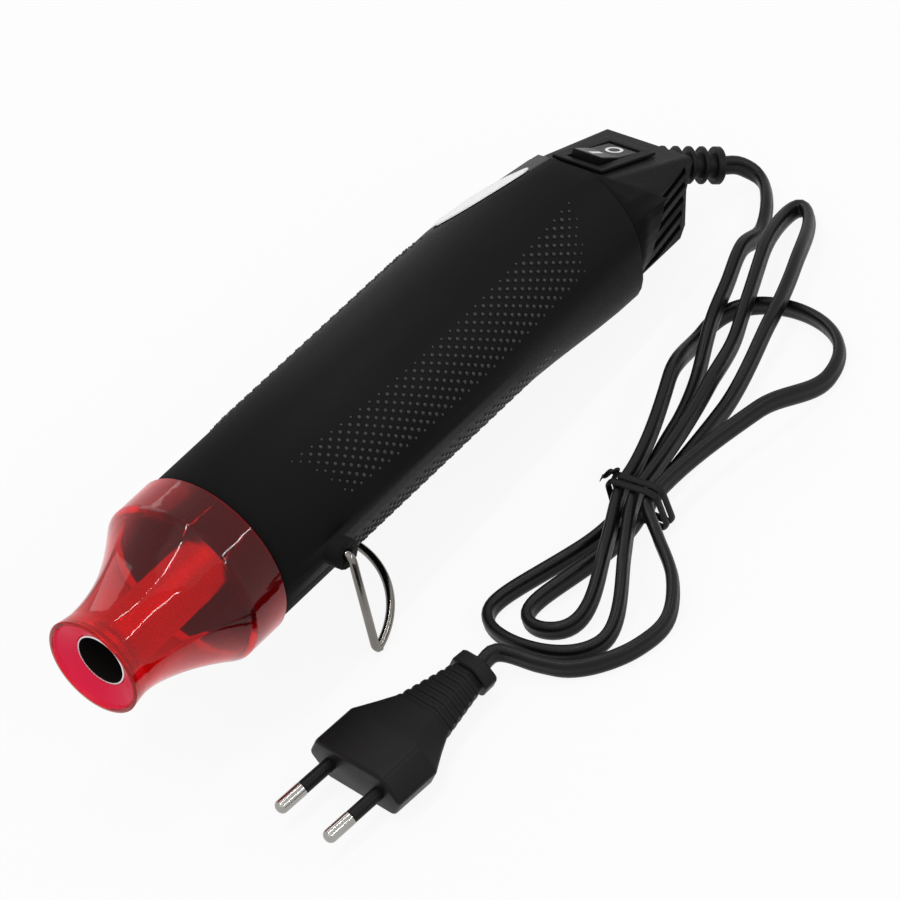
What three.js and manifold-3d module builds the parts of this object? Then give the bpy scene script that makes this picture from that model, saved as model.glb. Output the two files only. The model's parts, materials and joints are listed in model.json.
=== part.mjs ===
// A mini hot air tool for craft work: a black tubular body with a red nozzle guard, a sloping
// switch face, a folding wire stand, and a flat mains lead tied in a hank that ends in a two-pin plug.
// Millimetres. The tool is drawn along its own axis, X from the nozzle mouth (0) to the rear, Z towards
// the switch, -Y the near side. It is then pitched so that it stands on its wire stand and its heel.
import * as THREE from "three";
import { mergeVertices } from "three/addons/utils/BufferGeometryUtils.js";
import Module from "manifold-3d";

const wasm = await Module();
wasm.setup();

// Fits
const CLEARANCE = 0.3;
const CUT_PAST = 1;

// Nozzle guard
const GUARD_LENGTH = 48.5;
const MOUTH_RADIUS = 14.6;
const MOUTH_LIP = 1.4;
const LIP_DEPTH = 1;
const LIP_TAPER = 0.3;
const WAIST_RADIUS = 13.9;
const WAIST_AT = 5;
const COLLAR_LENGTH = 12.5;
const COLLAR_PROUD = 1;
const GUARD_WALL = 1.6;
const DISH_DEPTH = 3.7;
const FLARE_POWER = 1.75;
const FLUTES = 6;
const FLUTE_DEPTH = 0.9;

// Outlet tube and heating element
const OUTLET_BORE_RADIUS = 7.3;
const OUTLET_WALL = 0.5;
const OUTLET_FLANGE = 3;
const FLANGE_THICKNESS = 0.8;
const HOLDER_LENGTH = 6;
const MICA_WALL = 0.35;
const MICA_SETBACK = 12;
const FORMER_PLATE = 0.8;
const FORMER_SETBACK = 1;
const FORMER_TAIL = 5;
const COIL_WIRE_RADIUS = 0.4;
const COIL_TURNS = 14;
const COIL_MARGIN = 5;
const FUSE_RADIUS = 1.1;
const FUSE_LENGTH = 9;

// Body tube, with a heel under its rear end
const BODY_RADIUS = 24;
const BODY_WALL = 2.2;
const BODY_LENGTH = 151.5;
const SPIGOT_WALL = 2.2;
const SHOULDER_LENGTH = 7.5;
const HEEL_DROP = 3.2;
const HEEL_LENGTH = 50;
const HEEL_HALF_ANGLE = 84;
const HEEL_BLEND_ANGLE = 45;

// Tail: the switch face behind a steep wall, the leaning back and the keel below it
const TAIL_LENGTH = 35.5;
const TAIL_REBATE = 0.1;
const FACE_SLOPE = THREE.MathUtils.degToRad(23);
const FACE_BEVEL = THREE.MathUtils.degToRad(45);
const FACE_HALF_WIDTH = 11.5;
const FACE_WALL_START = 3;
const FACE_FROM_BODY = 6.5;
const BACK_TOP = 1.4;
const TAIL_WALL = 2;
const TAIL_BORE_STEP = 1;
const TAIL_SPIGOT_LENGTH = 10;
const BACK_KNEE_SETBACK = 6.5;
const BACK_KNEE_DROP = 6.4;
const BACK_FOOT_SETBACK = 10.5;
const BACK_FOOT_DROP = 14;
const KEEL_SETBACK = 21.5;
const KEEL_RISE = 3.5;
const TAIL_REAR_HALF_WIDTH = 14.5;
const TAIL_CORNER_HALF_WIDTH = 19;
const TAIL_CORNER_SETBACK = 4;
const TAIL_TAPER_LENGTH = 12;

// Vents: a pocket in each side of the tail, edged by [from the body's end, height] points, and its slots.
// The pocket's face draws in towards the rear.
const POCKET_FRONT_HALF_WIDTH = 21;
const POCKET_REAR_HALF_WIDTH = 15.5;
const POCKET_EDGE = [[1, -17], [6, -4], [12.5, 4.6]];
const SLOT_COUNT = 5;
const SLOT_HEIGHT = 1.7;
const SLOT_PITCH = 3.3;
const SLOT_TOP = 0.6;
const SLOT_FROM_BODY = 13.5;
const SLOT_FRONT_LEAN = 0.85;
const SLOT_REAR_MARGIN = 5;
const SLOT_REAR_LEAN = 0.62;

// Screws that hold the tail in the body
const TAIL_SCREW_RADIUS = 1.3;
const TAIL_SCREW_HEAD_RADIUS = 2.5;
const TAIL_SCREW_HEAD = 1;
const TAIL_SCREW_SINK = 0.4;
const TAIL_SCREW_GRIP = 4;
const TAIL_SCREW_ANGLE = 35;

// Switch
const SWITCH_LENGTH = 20;
const SWITCH_WIDTH = 14;
const SWITCH_DEPTH = 5.5;
const WELL_FLOOR = 1;
const SWITCH_REAR_MARGIN = 9.5;
const BEZEL_RIM = 1.6;
const BEZEL_PROUD = 0.9;
const ROCKER_END_GAP = 1.2;
const ROCKER_CROWN = 1.1;
const ROCKER_DISH = 0.7;
const ROCKER_SKIRT = 1;
const ROCKER_KEEL = 2.4;
const ROCKER_PIVOT_DEPTH = 1.2;
const ROCKER_TILT = THREE.MathUtils.degToRad(8);

// Wire stand
const WIRE_RADIUS = 1.2;
const WIRE_BEND = 2.4;
const PIVOT_FROM_BODY = 20.5;
const PIVOT_DROP = 5;
const BOSS_RADIUS = 4.4;
const BOSS_PROUD = 3.6;
const LEG_LENGTH = 33;
const FOOT_GAP = 3.8;
const FOOT_REACH = 24;
const PIN_DEPTH = 5;

// Rating plate, on a flat that is cut deeper into the body's far side towards the rear
const PLATE_LENGTH = 31;
const PLATE_FROM_REAR = 5;
const PLATE_THICKNESS = 0.4;
const PLATE_MARGIN = 0.8;
const PLATE_ROUNDING = 6;
const PLATE_END_SHARE = 0.34;
const PLATE_FLAT_LENGTH = 39;
const PLATE_FLAT_TILT = THREE.MathUtils.degToRad(8.1);
const PLATE_FLAT_FACING = THREE.MathUtils.degToRad(35);

// Fan motor
const MOTOR_RADIUS = 12;
const MOTOR_LENGTH = 28;
const MOTOR_FROM_BODY = 61.5;
const MOTOR_CAP = 3;
const MOUNT_THICKNESS = 2.7;
const MOUNT_RIM = 2.4;
const MOUNT_SPOKE = 5;
const MOUNT_SEAT = 0.6;
const BUSH_RADIUS = 3;
const BUSH_PROUD = 2;
const SHAFT_RADIUS = 1;
const SHAFT_SETBACK = 1;
const MOTOR_SCREW_RADIUS = 1.2;
const MOTOR_SCREW_HEAD_RADIUS = 2.2;
const MOTOR_SCREW_HEAD = 1.5;
const MOTOR_SCREW_PITCH = 16;
const MOTOR_SCREW_GRIP = 4;
const FAN_LENGTH = 12;
const FAN_HUB_RADIUS = 6;
const FAN_TIP_GAP = 2;
const FAN_BLADES = 7;
const FAN_BLADE = 1.1;
const FAN_PITCH = THREE.MathUtils.degToRad(38);
const FAN_GAP = 3;
const BOARD_THICKNESS = 1.4;
const BOARD_RADIUS = 11;
const DIODES = 4;
const DIODE_RADIUS = 1.35;
const DIODE_LENGTH = 5;
const DIODE_PITCH = 4.4;

// Cord gland
const GLAND_TILT = THREE.MathUtils.degToRad(24);
const GLAND_YAW = THREE.MathUtils.degToRad(33);
const GLAND_LENGTH = 23;
const GLAND_CORE_RADIUS = 3.5;
const GLAND_FIN_RADIUS = 5.2;
const GLAND_FINS = 4;
const GLAND_FIN_SHARE = 0.45;
const GLAND_BARE = 5.4;
const GLAND_COLLAR = 2.2;
const GLAND_GROOVE = 2.6;
const GLAND_FLANGE = 1;
const GLAND_FLANGE_PROUD = 0.9;
const GLAND_DROP = 4.5;

// Flat two-core lead, lying with its wide side upright
const CORD_THICK = 3.4;
const CORD_WIDE = 5.6;
const CORD_FLAT_SHARE = 0.55;
const CORD_STEP = 4.5;
const FLOOR_GAP = 0.05;
const CURVE_STEPS = 20;

// Hank: loops drawn in at a waist, where they lie in two layers under the tie
const WAIST_X = 10.5;
const WAIST_Y = -67;
const WAIST_HOLD = 22;
const WAIST_FALL = 24;
const LOBE_ROUNDNESS = 0.62;
const LOBE_STEPS = 240;
const SLOT_FADE = 0.3;
const HUMP_HOLD = 10;
const HUMP_FALL = 30;

// Tie round the waist of the hank
const TIE_WIDTH = 3;
const TIE_THICKNESS = 1;
const TIE_CORNER = 2.5;

// Plug, with its place and heading on the surface
const PLUG_WIDTH = 35;
const PLUG_HEIGHT = 14;
const PLUG_LENGTH = 46;
const PLUG_EDGE = 1;
const PLUG_BEVEL = 4.9;
const PLUG_BLOCK_LENGTH = 14;
const PLUG_SHOULDER_LENGTH = 19.5;
const PLUG_SHOULDER_WIDTH = 27;
const PLUG_SHOULDER_HEIGHT = 13;
const NECK_START = 24;
const NECK_WIDTH = 21.5;
const NECK_HEIGHT = 11.8;
const NECK_END_WIDTH = 12.5;
const NECK_END_HEIGHT = 9;
const NECK_RIBS = 5;
const RIB_DEPTH = 0.5;
const RIB_TOP_SHARE = 0.35;
const RIB_FALL_SHARE = 0.5;
const RIB_GROOVE_SHARE = 0.85;
const PLUG_COLLAR = 4.4;
const PLUG_COLLAR_WIDTH = 15;
const PLUG_COLLAR_HEIGHT = 10.5;
const PIN_RADIUS = 2;
const PIN_LENGTH = 19;
const PIN_SPACING = 18.6;
const PIN_NOSE = 1.2;
const PIN_NOSE_SHARE = 0.6;
const PIN_ROOT = 6;
const SLEEVE_LENGTH = 10;
const SLEEVE_WALL = 0.4;
const SLEEVE_STEP = 0.1;
const PLUG_X = -101.4;
const PLUG_Y = -57;
const PLUG_HEADING = THREE.MathUtils.degToRad(172);

// Facets round a full turn
const ROUND = 48;
const SMALL_ROUND = 16;

// Places along the axis that several pieces share
const bodyFront = GUARD_LENGTH;
const bodyRear = bodyFront + BODY_LENGTH;
const tailEnd = bodyRear + TAIL_LENGTH;
const bodyBore = BODY_RADIUS - BODY_WALL;
const collarRadius = BODY_RADIUS + COLLAR_PROUD;
const spigotRadius = collarRadius - GUARD_WALL - CLEARANCE;
const spigotBore = spigotRadius - SPIGOT_WALL;
const spigotFront = bodyFront - COLLAR_LENGTH + GUARD_WALL + CLEARANCE;
const shoulderAt = bodyFront + SHOULDER_LENGTH;
const outletRadius = OUTLET_BORE_RADIUS + OUTLET_WALL;
const holderFront = shoulderAt + CLEARANCE;
const holderRear = holderFront + HOLDER_LENGTH;
const motorFront = bodyFront + MOTOR_FROM_BODY;
const motorRear = motorFront + MOTOR_LENGTH;

// Finishes
const finish = (color, roughness, metalness = 0) =>
  new THREE.MeshStandardMaterial({ color, roughness, metalness });
const blackPlastic = finish(0x17171a, 0.62);
const rubberBlack = finish(0x121214, 0.72);
const redPlastic = finish(0xb3121c, 0.18);
const steel = finish(0xb9bcc0, 0.25, 1);
const mica = finish(0xb8a888, 0.7);
const nichrome = finish(0x6b6259, 0.45, 1);
const phenolic = finish(0x3a2a20, 0.7);
const platePaper = finish(0xd9dadc, 0.45);
const motorSteel = finish(0x9b9da0, 0.35, 1);
const whitePlastic = finish(0xe3e1da, 0.5);
const boardGreen = finish(0x1f5b34, 0.5);
const brass = finish(0xb08d4a, 0.35, 1);

// Solids: a closed geometry becomes a manifold with its faces turned outwards
function solid(geometry) {
  const bare = geometry.index ? geometry.toNonIndexed() : geometry.clone();
  bare.deleteAttribute("normal");
  bare.deleteAttribute("uv");
  const merged = mergeVertices(bare, 1e-4);
  const triVerts = new Uint32Array(merged.index.array);
  const build = () =>
    new wasm.Manifold(
      new wasm.Mesh({ numProp: 3, vertProperties: merged.attributes.position.array, triVerts }),
    );
  const made = build();
  if (made.volume() >= 0) return made;
  for (let i = 0; i < triVerts.length; i += 3) {
    [triVerts[i + 1], triVerts[i + 2]] = [triVerts[i + 2], triVerts[i + 1]];
  }
  return build();
}

function geometryOf(made) {
  const data = made.getMesh();
  const positions = new Float32Array(data.numVert * 3);
  for (let i = 0; i < data.numVert; i++) {
    positions.set(data.vertProperties.subarray(i * data.numProp, i * data.numProp + 3), i * 3);
  }
  const geometry = new THREE.BufferGeometry();
  geometry.setAttribute("position", new THREE.BufferAttribute(positions, 3));
  geometry.setIndex(new THREE.BufferAttribute(data.triVerts, 1));
  geometry.computeVertexNormals();
  return geometry;
}

// A closed profile of [axial, radius] points turned round the X axis
function turned(profile, segments = ROUND) {
  const points = profile.map(([axial, radius]) => new THREE.Vector2(radius, axial));
  return solid(new THREE.LatheGeometry(points, segments).rotateZ(-Math.PI / 2));
}

const rod = (from, to, radius, segments = SMALL_ROUND) =>
  turned([[from, 0], [from, radius], [to, radius], [to, 0]], segments);

const pipe = (from, to, inner, outer, segments = ROUND) =>
  turned([[from, inner], [from, outer], [to, outer], [to, inner], [from, inner]], segments);

const block = (x, y, z) => solid(new THREE.BoxGeometry(x, y, z));

// A side outline of [x, z] points, made as wide as given and centred on y = 0
function sidePrism(outline, width) {
  const shape = new THREE.Shape(outline.map(([x, z]) => new THREE.Vector2(x, z)));
  const geometry = new THREE.ExtrudeGeometry(shape, { depth: width, bevelEnabled: false });
  return solid(geometry.rotateX(Math.PI / 2).translate(0, width / 2, 0));
}

// A plan outline of [x, y] points, made as tall as given and centred on z = 0
function planPrism(outline, height) {
  const shape = new THREE.Shape(outline.map(([x, y]) => new THREE.Vector2(x, y)));
  const geometry = new THREE.ExtrudeGeometry(shape, { depth: height, bevelEnabled: false });
  return solid(geometry.translate(0, 0, -height / 2));
}

// Rings of equally many points joined into a skin: capped at both ends, or closed into a loop
function loft(rings, loop = false) {
  const count = rings[0].length;
  const positions = rings.flat().flatMap((p) => [p.x, p.y, p.z]);
  const index = [];
  const last = loop ? rings.length : rings.length - 1;
  for (let i = 0; i < last; i++) {
    const a = i * count;
    const b = ((i + 1) % rings.length) * count;
    for (let j = 0; j < count; j++) {
      const k = (j + 1) % count;
      index.push(a + j, b + j, a + k, b + j, b + k, a + k);
    }
  }
  if (!loop) {
    for (const base of [0, (rings.length - 1) * count]) {
      for (let j = 1; j < count - 1; j++) {
        const turn = base === 0 ? [base, base + j, base + j + 1] : [base, base + j + 1, base + j];
        index.push(...turn);
      }
    }
  }
  const geometry = new THREE.BufferGeometry();
  geometry.setAttribute("position", new THREE.Float32BufferAttribute(positions, 3));
  geometry.setIndex(index);
  return solid(geometry);
}

// A ring round the X axis whose radius may change with the angle from the top
function ring(x, radius, segments = ROUND) {
  return Array.from({ length: segments }, (_, i) => {
    const angle = (2 * Math.PI * i) / segments;
    const r = typeof radius === "function" ? radius(angle) : radius;
    return new THREE.Vector3(x, r * Math.sin(angle), r * Math.cos(angle));
  });
}

// A section of [side, up] points swept along a route, with up kept as near to Z as the route allows.
// The points before and after the route, where it goes on, set how its two end faces turn.
function sweep(route, section, pointBefore = route[0], pointAfter = route[route.length - 1]) {
  const rings = route.map((point, i) => {
    const before = i > 0 ? route[i - 1] : pointBefore;
    const after = i < route.length - 1 ? route[i + 1] : pointAfter;
    const ahead = after.clone().sub(before).normalize();
    const side = new THREE.Vector3().crossVectors(ahead, new THREE.Vector3(0, 0, 1)).normalize();
    const up = new THREE.Vector3().crossVectors(side, ahead);
    return section.map(([s, u]) => point.clone().addScaledVector(side, s).addScaledVector(up, u));
  });
  return loft(rings);
}

// A round wire along a route with corners, carried round them without twist
function wire(route, radius, sides) {
  let normal = new THREE.Vector3(0, 0, 1);
  const rings = route.map((point, i) => {
    const before = route[Math.max(i - 1, 0)];
    const after = route[Math.min(i + 1, route.length - 1)];
    const ahead = after.clone().sub(before).normalize();
    if (i === 0 && Math.abs(ahead.z) > 0.9) normal.set(1, 0, 0);
    normal = normal.clone().addScaledVector(ahead, -normal.dot(ahead)).normalize();
    const side = new THREE.Vector3().crossVectors(ahead, normal);
    return Array.from({ length: sides }, (_, k) => {
      const angle = (2 * Math.PI * k) / sides;
      return point
        .clone()
        .addScaledVector(normal, radius * Math.cos(angle))
        .addScaledVector(side, radius * Math.sin(angle));
    });
  });
  return loft(rings);
}

function piece(parent, name, made, material) {
  const mesh = new THREE.Mesh(geometryOf(made), material);
  mesh.name = name;
  parent.add(mesh);
  return mesh;
}

const smooth = (t) => THREE.MathUtils.smoothstep(t, 0, 1);

const part = new THREE.Group();
const tool = new THREE.Group();
part.add(tool);

// Nozzle guard: a fluted flare between the mouth and the collar, with a dished front wall
function nozzleGuard() {
  const shoulder = bodyFront - COLLAR_LENGTH;
  const flare = (x, inset) => (angle) => {
    const t = THREE.MathUtils.clamp((x - WAIST_AT) / (shoulder - WAIST_AT), 0, 1);
    const plain = WAIST_RADIUS + (collarRadius - WAIST_RADIUS) * t ** FLARE_POWER;
    const flute = 0.5 + 0.5 * Math.cos(FLUTES * angle);
    return plain - inset - FLUTE_DEPTH * flute * Math.sin(Math.PI * t);
  };
  const steps = 8;
  const flareAt = (i) => WAIST_AT + ((shoulder - WAIST_AT) * i) / steps;
  const holeRadius = outletRadius + CLEARANCE;
  const collarRear = bodyFront - CLEARANCE;
  const collarBore = collarRadius - GUARD_WALL;
  const wallBack = DISH_DEPTH + GUARD_WALL;
  const rings = [ring(0, MOUTH_RADIUS)];
  for (let i = 0; i <= steps; i++) rings.push(ring(flareAt(i), flare(flareAt(i), 0)));
  rings.push(ring(collarRear, collarRadius));
  rings.push(ring(collarRear, collarBore));
  rings.push(ring(shoulder + GUARD_WALL, collarBore));
  for (let i = steps - 1; i >= 1; i--) rings.push(ring(flareAt(i), flare(flareAt(i), GUARD_WALL)));
  rings.push(ring(wallBack, WAIST_RADIUS - GUARD_WALL));
  rings.push(ring(wallBack, holeRadius));
  rings.push(ring(DISH_DEPTH, holeRadius));
  rings.push(ring(LIP_DEPTH, MOUTH_RADIUS - MOUTH_LIP - LIP_TAPER));
  rings.push(ring(0, MOUTH_RADIUS - MOUTH_LIP));
  return loft(rings, true);
}
piece(tool, "nozzle_guard", nozzleGuard(), redPlastic);

// Outlet tube: its rim shows in the dish, and its flange bears on the back of the holder
const flangeFront = holderRear + CLEARANCE;
const outletRear = flangeFront + FLANGE_THICKNESS;
const outletRim = DISH_DEPTH - CLEARANCE;
const flangeRadius = outletRadius + OUTLET_FLANGE;
piece(
  tool,
  "outlet_tube",
  turned([
    [outletRim, OUTLET_BORE_RADIUS],
    [outletRim, outletRadius],
    [flangeFront, outletRadius],
    [flangeFront, flangeRadius],
    [outletRear, flangeRadius],
    [outletRear, OUTLET_BORE_RADIUS],
    [outletRim, OUTLET_BORE_RADIUS],
  ]),
  steel,
);

piece(
  tool,
  "element_holder",
  pipe(holderFront, holderRear, outletRadius + CLEARANCE, bodyBore - CLEARANCE),
  phenolic,
);

// Heating element: a coil on a crossed mica former, inside a mica sleeve
const sleeveOuter = OUTLET_BORE_RADIUS - CLEARANCE;
const sleeveInner = sleeveOuter - MICA_WALL;
const elementFront = outletRim + MICA_SETBACK;
piece(tool, "mica_sleeve", pipe(elementFront, outletRear, sleeveInner, sleeveOuter, SMALL_ROUND * 2), mica);

const coilRadius = sleeveInner - CLEARANCE - COIL_WIRE_RADIUS;
const formerHalf = coilRadius - COIL_WIRE_RADIUS - 2 * CLEARANCE;
const formerFront = elementFront + FORMER_SETBACK;
const formerRear = outletRear + FORMER_TAIL;
const formerLength = formerRear - formerFront;
const formerMiddle = (formerFront + formerRear) / 2;
piece(
  tool,
  "element_former",
  block(formerLength, 2 * formerHalf, FORMER_PLATE)
    .add(block(formerLength, FORMER_PLATE, 2 * formerHalf))
    .translate([formerMiddle, 0, 0]),
  mica,
);

function heatingCoil() {
  const stepsPerTurn = 8;
  const from = formerFront + COIL_MARGIN;
  const length = outletRear - COIL_MARGIN - from;
  const total = COIL_TURNS * stepsPerTurn;
  const route = Array.from({ length: total + 1 }, (_, i) => {
    const angle = (2 * Math.PI * i) / stepsPerTurn;
    return new THREE.Vector3(
      from + (length * i) / total,
      coilRadius * Math.sin(angle),
      coilRadius * Math.cos(angle),
    );
  });
  return wire(route, COIL_WIRE_RADIUS, 4);
}
piece(tool, "heating_coil", heatingCoil(), nichrome);

const fuseOffset = FORMER_PLATE / 2 + CLEARANCE + FUSE_RADIUS;
piece(
  tool,
  "thermal_fuse",
  rod(formerRear - FUSE_LENGTH, formerRear, FUSE_RADIUS).translate([0, fuseOffset, fuseOffset]),
  steel,
);

// The switch face is a flat that slopes down to the rear, with a bevel on each side
const faceTop = bodyRear - FACE_WALL_START;
const faceFront = bodyRear + FACE_FROM_BODY;
const faceHeight = (x) => BACK_TOP + Math.tan(FACE_SLOPE) * (tailEnd - x);
const faceHalfWidth = (x) =>
  THREE.MathUtils.mapLinear(x, faceFront, tailEnd, FACE_HALF_WIDTH, TAIL_REAR_HALF_WIDTH);

// What lies under the face and its bevels, drawn in by an inset
function underFace(inset) {
  const wide = 3 * BODY_RADIUS;
  const section = (x) => {
    const half = faceHalfWidth(x) - inset;
    const top = faceHeight(x) - inset / Math.cos(FACE_SLOPE);
    const low = top - (wide - half) * Math.tan(FACE_BEVEL);
    const side = [[half, top], [wide, low], [wide, -2 * wide]];
    const outline = [...side, ...side.map(([y, z]) => [-y, z]).reverse()];
    return outline.map(([y, z]) => new THREE.Vector3(x, y, z));
  };
  return loft([section(faceTop - BODY_RADIUS), section(tailEnd + BODY_RADIUS)]);
}

// What is cut away above the face, behind the wall that steps down to it from the top of the body
function aboveFace() {
  const lean = (faceFront - faceTop) / (BODY_RADIUS - faceHeight(faceFront));
  const wallAt = (z) => faceTop + (BODY_RADIUS - z) * lean;
  const behind = tailEnd + BODY_RADIUS;
  const roof = 2 * BODY_RADIUS;
  const floor = -BODY_RADIUS;
  const outline = [
    [wallAt(roof), roof],
    [wallAt(floor), floor],
    [behind, floor],
    [behind, roof],
  ];
  return sidePrism(outline, 4 * BODY_RADIUS).subtract(underFace(0));
}

// The flat for the rating plate: its height over the axis, and what lies outside it, sunk by an inset
const plateFlatFront = bodyRear - PLATE_FLAT_LENGTH;
const plateFlatHeight = (x) => BODY_RADIUS - Math.tan(PLATE_FLAT_TILT) * (x - plateFlatFront);
const onPlateFlat = (made, inset) =>
  made
    .translate([0, 0, -inset])
    .rotate([0, THREE.MathUtils.radToDeg(PLATE_FLAT_TILT), 0])
    .translate([plateFlatFront, 0, BODY_RADIUS])
    .rotate([-THREE.MathUtils.radToDeg(PLATE_FLAT_FACING), 0, 0]);
const outsidePlateFlat = (inset) =>
  onPlateFlat(block(4 * TAIL_LENGTH, 4 * BODY_RADIUS, BODY_RADIUS).translate([0, 0, BODY_RADIUS / 2]), inset);

// Wire stand pivot, in bosses on the two sides of the body
const pivotX = bodyFront + PIVOT_FROM_BODY;
const pivotZ = -PIVOT_DROP;
const bossFace = BODY_RADIUS + BOSS_PROUD;
const acrossAt = (x, z, from, to, radius) => {
  const bar = solid(new THREE.CylinderGeometry(radius, radius, to - from, SMALL_ROUND));
  return bar.translate([x, (from + to) / 2, z]);
};

const tailScrews = [1, -1].map((side) => ({
  name: side > 0 ? "tail_screw_far" : "tail_screw_near",
  turn: side * TAIL_SCREW_ANGLE,
}));
const tailScrewX = bodyRear - TAIL_SPIGOT_LENGTH / 2;
const tailScrewSeat = BODY_RADIUS + HEEL_DROP - TAIL_SCREW_SINK - TAIL_SCREW_HEAD;
// A radial rod below the axis, between two depths, turned round the axis by the screw's angle
const radialRod = (from, to, radius, turn) =>
  rod(from, to, radius)
    .rotate([0, 90, 0])
    .rotate([turn, 0, 0])
    .translate([tailScrewX, 0, 0]);

// How far the heel stands below the round body, at a place along it and an angle from the top
const heelAt = (x, angle) => {
  const along = smooth((x - (bodyRear - HEEL_LENGTH)) / HEEL_LENGTH);
  const fromBelow = Math.abs(THREE.MathUtils.radToDeg(angle) - 180);
  const below = smooth((HEEL_HALF_ANGLE - fromBelow) / HEEL_BLEND_ANGLE);
  return HEEL_DROP * along * below;
};

function bodyShell() {
  const heelSteps = 6;
  const outer = (x) => ring(x, (angle) => BODY_RADIUS + heelAt(x, angle));
  const rings = [ring(spigotFront, spigotRadius), ring(bodyFront, spigotRadius)];
  rings.push(ring(bodyFront, BODY_RADIUS));
  for (let i = 0; i <= heelSteps; i++) rings.push(outer(bodyRear - HEEL_LENGTH * (1 - i / heelSteps)));
  rings.push(ring(bodyRear, bodyBore));
  rings.push(ring(shoulderAt, bodyBore));
  rings.push(ring(shoulderAt, spigotBore));
  rings.push(ring(spigotFront, spigotBore));
  const flatWall = rod(shoulderAt, bodyRear, bodyBore + BODY_WALL / 2, ROUND).intersect(
    outsidePlateFlat(BODY_WALL),
  );
  let shell = loft(rings, true).add(flatWall).subtract(outsidePlateFlat(0)).subtract(aboveFace());
  for (const side of [1, -1]) {
    const root = bodyBore + BODY_WALL / 2;
    const boss = acrossAt(pivotX, pivotZ, root - PIVOT_DROP / 2, bossFace, BOSS_RADIUS);
    const inside = rod(shoulderAt, bodyRear, bodyBore, ROUND);
    const holeRadius = WIRE_RADIUS + CLEARANCE;
    const hole = acrossAt(pivotX, pivotZ, bossFace - PIN_DEPTH, bossFace + CUT_PAST, holeRadius);
    const placed = (made) => (side > 0 ? made : made.mirror([0, 1, 0]));
    shell = shell.add(placed(boss.subtract(inside))).subtract(placed(hole));
  }
  for (const { turn } of tailScrews) {
    const outside = 2 * BODY_RADIUS;
    const hole = radialRod(bodyBore - CUT_PAST, outside, TAIL_SCREW_RADIUS + CLEARANCE, turn);
    const recess = radialRod(tailScrewSeat - CLEARANCE, outside, TAIL_SCREW_HEAD_RADIUS + CLEARANCE, turn);
    shell = shell.subtract(hole).subtract(recess);
  }
  return shell;
}
piece(tool, "body_shell", bodyShell(), blackPlastic);

// Tail: the body's round section cut by the switch face, the leaning back and the vent pockets
const switchSetback = (SWITCH_REAR_MARGIN + SWITCH_LENGTH / 2) * Math.cos(FACE_SLOPE);
const faceMiddle = new THREE.Vector3(tailEnd - switchSetback, 0, faceHeight(tailEnd - switchSetback));
// Moves a solid from the switch's own frame, with Z out of the face, to its place on the tail
const onFace = (made) =>
  made.rotate([0, THREE.MathUtils.radToDeg(FACE_SLOPE), 0]).translate(faceMiddle.toArray());

const backLean = (drop) => tailEnd - (BACK_KNEE_SETBACK * drop) / BACK_KNEE_DROP;
const glandRoot = new THREE.Vector3(backLean(GLAND_DROP), 0, BACK_TOP - GLAND_DROP);
const glandAlong = new THREE.Vector3(
  Math.cos(GLAND_TILT) * Math.cos(GLAND_YAW),
  -Math.cos(GLAND_TILT) * Math.sin(GLAND_YAW),
  -Math.sin(GLAND_TILT),
);
// Moves a solid drawn along X from 0 to the gland's root, along the gland
const onGland = (made) =>
  made
    .rotate([0, THREE.MathUtils.radToDeg(GLAND_TILT), -THREE.MathUtils.radToDeg(GLAND_YAW)])
    .translate(glandRoot.toArray());

const glandInside = -TAIL_WALL - GLAND_GROOVE;
const glandFlangeRadius = GLAND_CORE_RADIUS + GLAND_FLANGE_PROUD;

// Side outline of the tail under its face, from a front plane, drawn in by an inset for its hollow
function tailOutline(inset, front) {
  const rear = tailEnd - inset;
  return [
    [front, BODY_RADIUS],
    [rear, BODY_RADIUS],
    [rear, BACK_TOP],
    [rear - BACK_KNEE_SETBACK, BACK_TOP - BACK_KNEE_DROP],
    [rear - BACK_FOOT_SETBACK, -BACK_FOOT_DROP],
    [rear - KEEL_SETBACK, -BODY_RADIUS + KEEL_RISE + inset],
    [front, -BODY_RADIUS + TAIL_REBATE + inset],
  ];
}

// Plan outline of the tail, which narrows behind its corners
function tailPlan(front) {
  const near = [
    [front, -2 * BODY_RADIUS],
    [tailEnd - TAIL_TAPER_LENGTH, -BODY_RADIUS],
    [tailEnd - TAIL_CORNER_SETBACK, -TAIL_CORNER_HALF_WIDTH],
    [tailEnd + CUT_PAST, -TAIL_REAR_HALF_WIDTH],
  ];
  return [...near, ...near.map(([x, y]) => [x, -y]).reverse()];
}

// The side vents: what is taken off outside a pocket on the far side, and the slots through to the hollow
function ventPocket() {
  const front = bodyRear + POCKET_EDGE[0][0];
  const edge = POCKET_EDGE.map(([along, z]) => [bodyRear + along - front, z]);
  const top = edge[edge.length - 1][1];
  const below = -2 * BODY_RADIUS;
  const behind = tailEnd + BODY_RADIUS - front;
  const drawnIn = Math.atan2(POCKET_FRONT_HALF_WIDTH - POCKET_REAR_HALF_WIDTH, tailEnd - front);
  return sidePrism([...edge, [behind, top], [behind, below], [0, below]], BODY_RADIUS)
    .translate([0, BODY_RADIUS / 2, 0])
    .rotate([0, 0, -THREE.MathUtils.radToDeg(drawnIn)])
    .translate([front, POCKET_FRONT_HALF_WIDTH, 0]);
}

function ventSlot(row) {
  const z = SLOT_TOP - row * SLOT_PITCH;
  const front = bodyRear + SLOT_FROM_BODY + SLOT_FRONT_LEAN * z;
  const rear = tailEnd - SLOT_REAR_MARGIN + SLOT_REAR_LEAN * Math.min(z, 0);
  return block(rear - front, 4 * BODY_RADIUS, SLOT_HEIGHT).translate([(front + rear) / 2, 0, z]);
}

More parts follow.
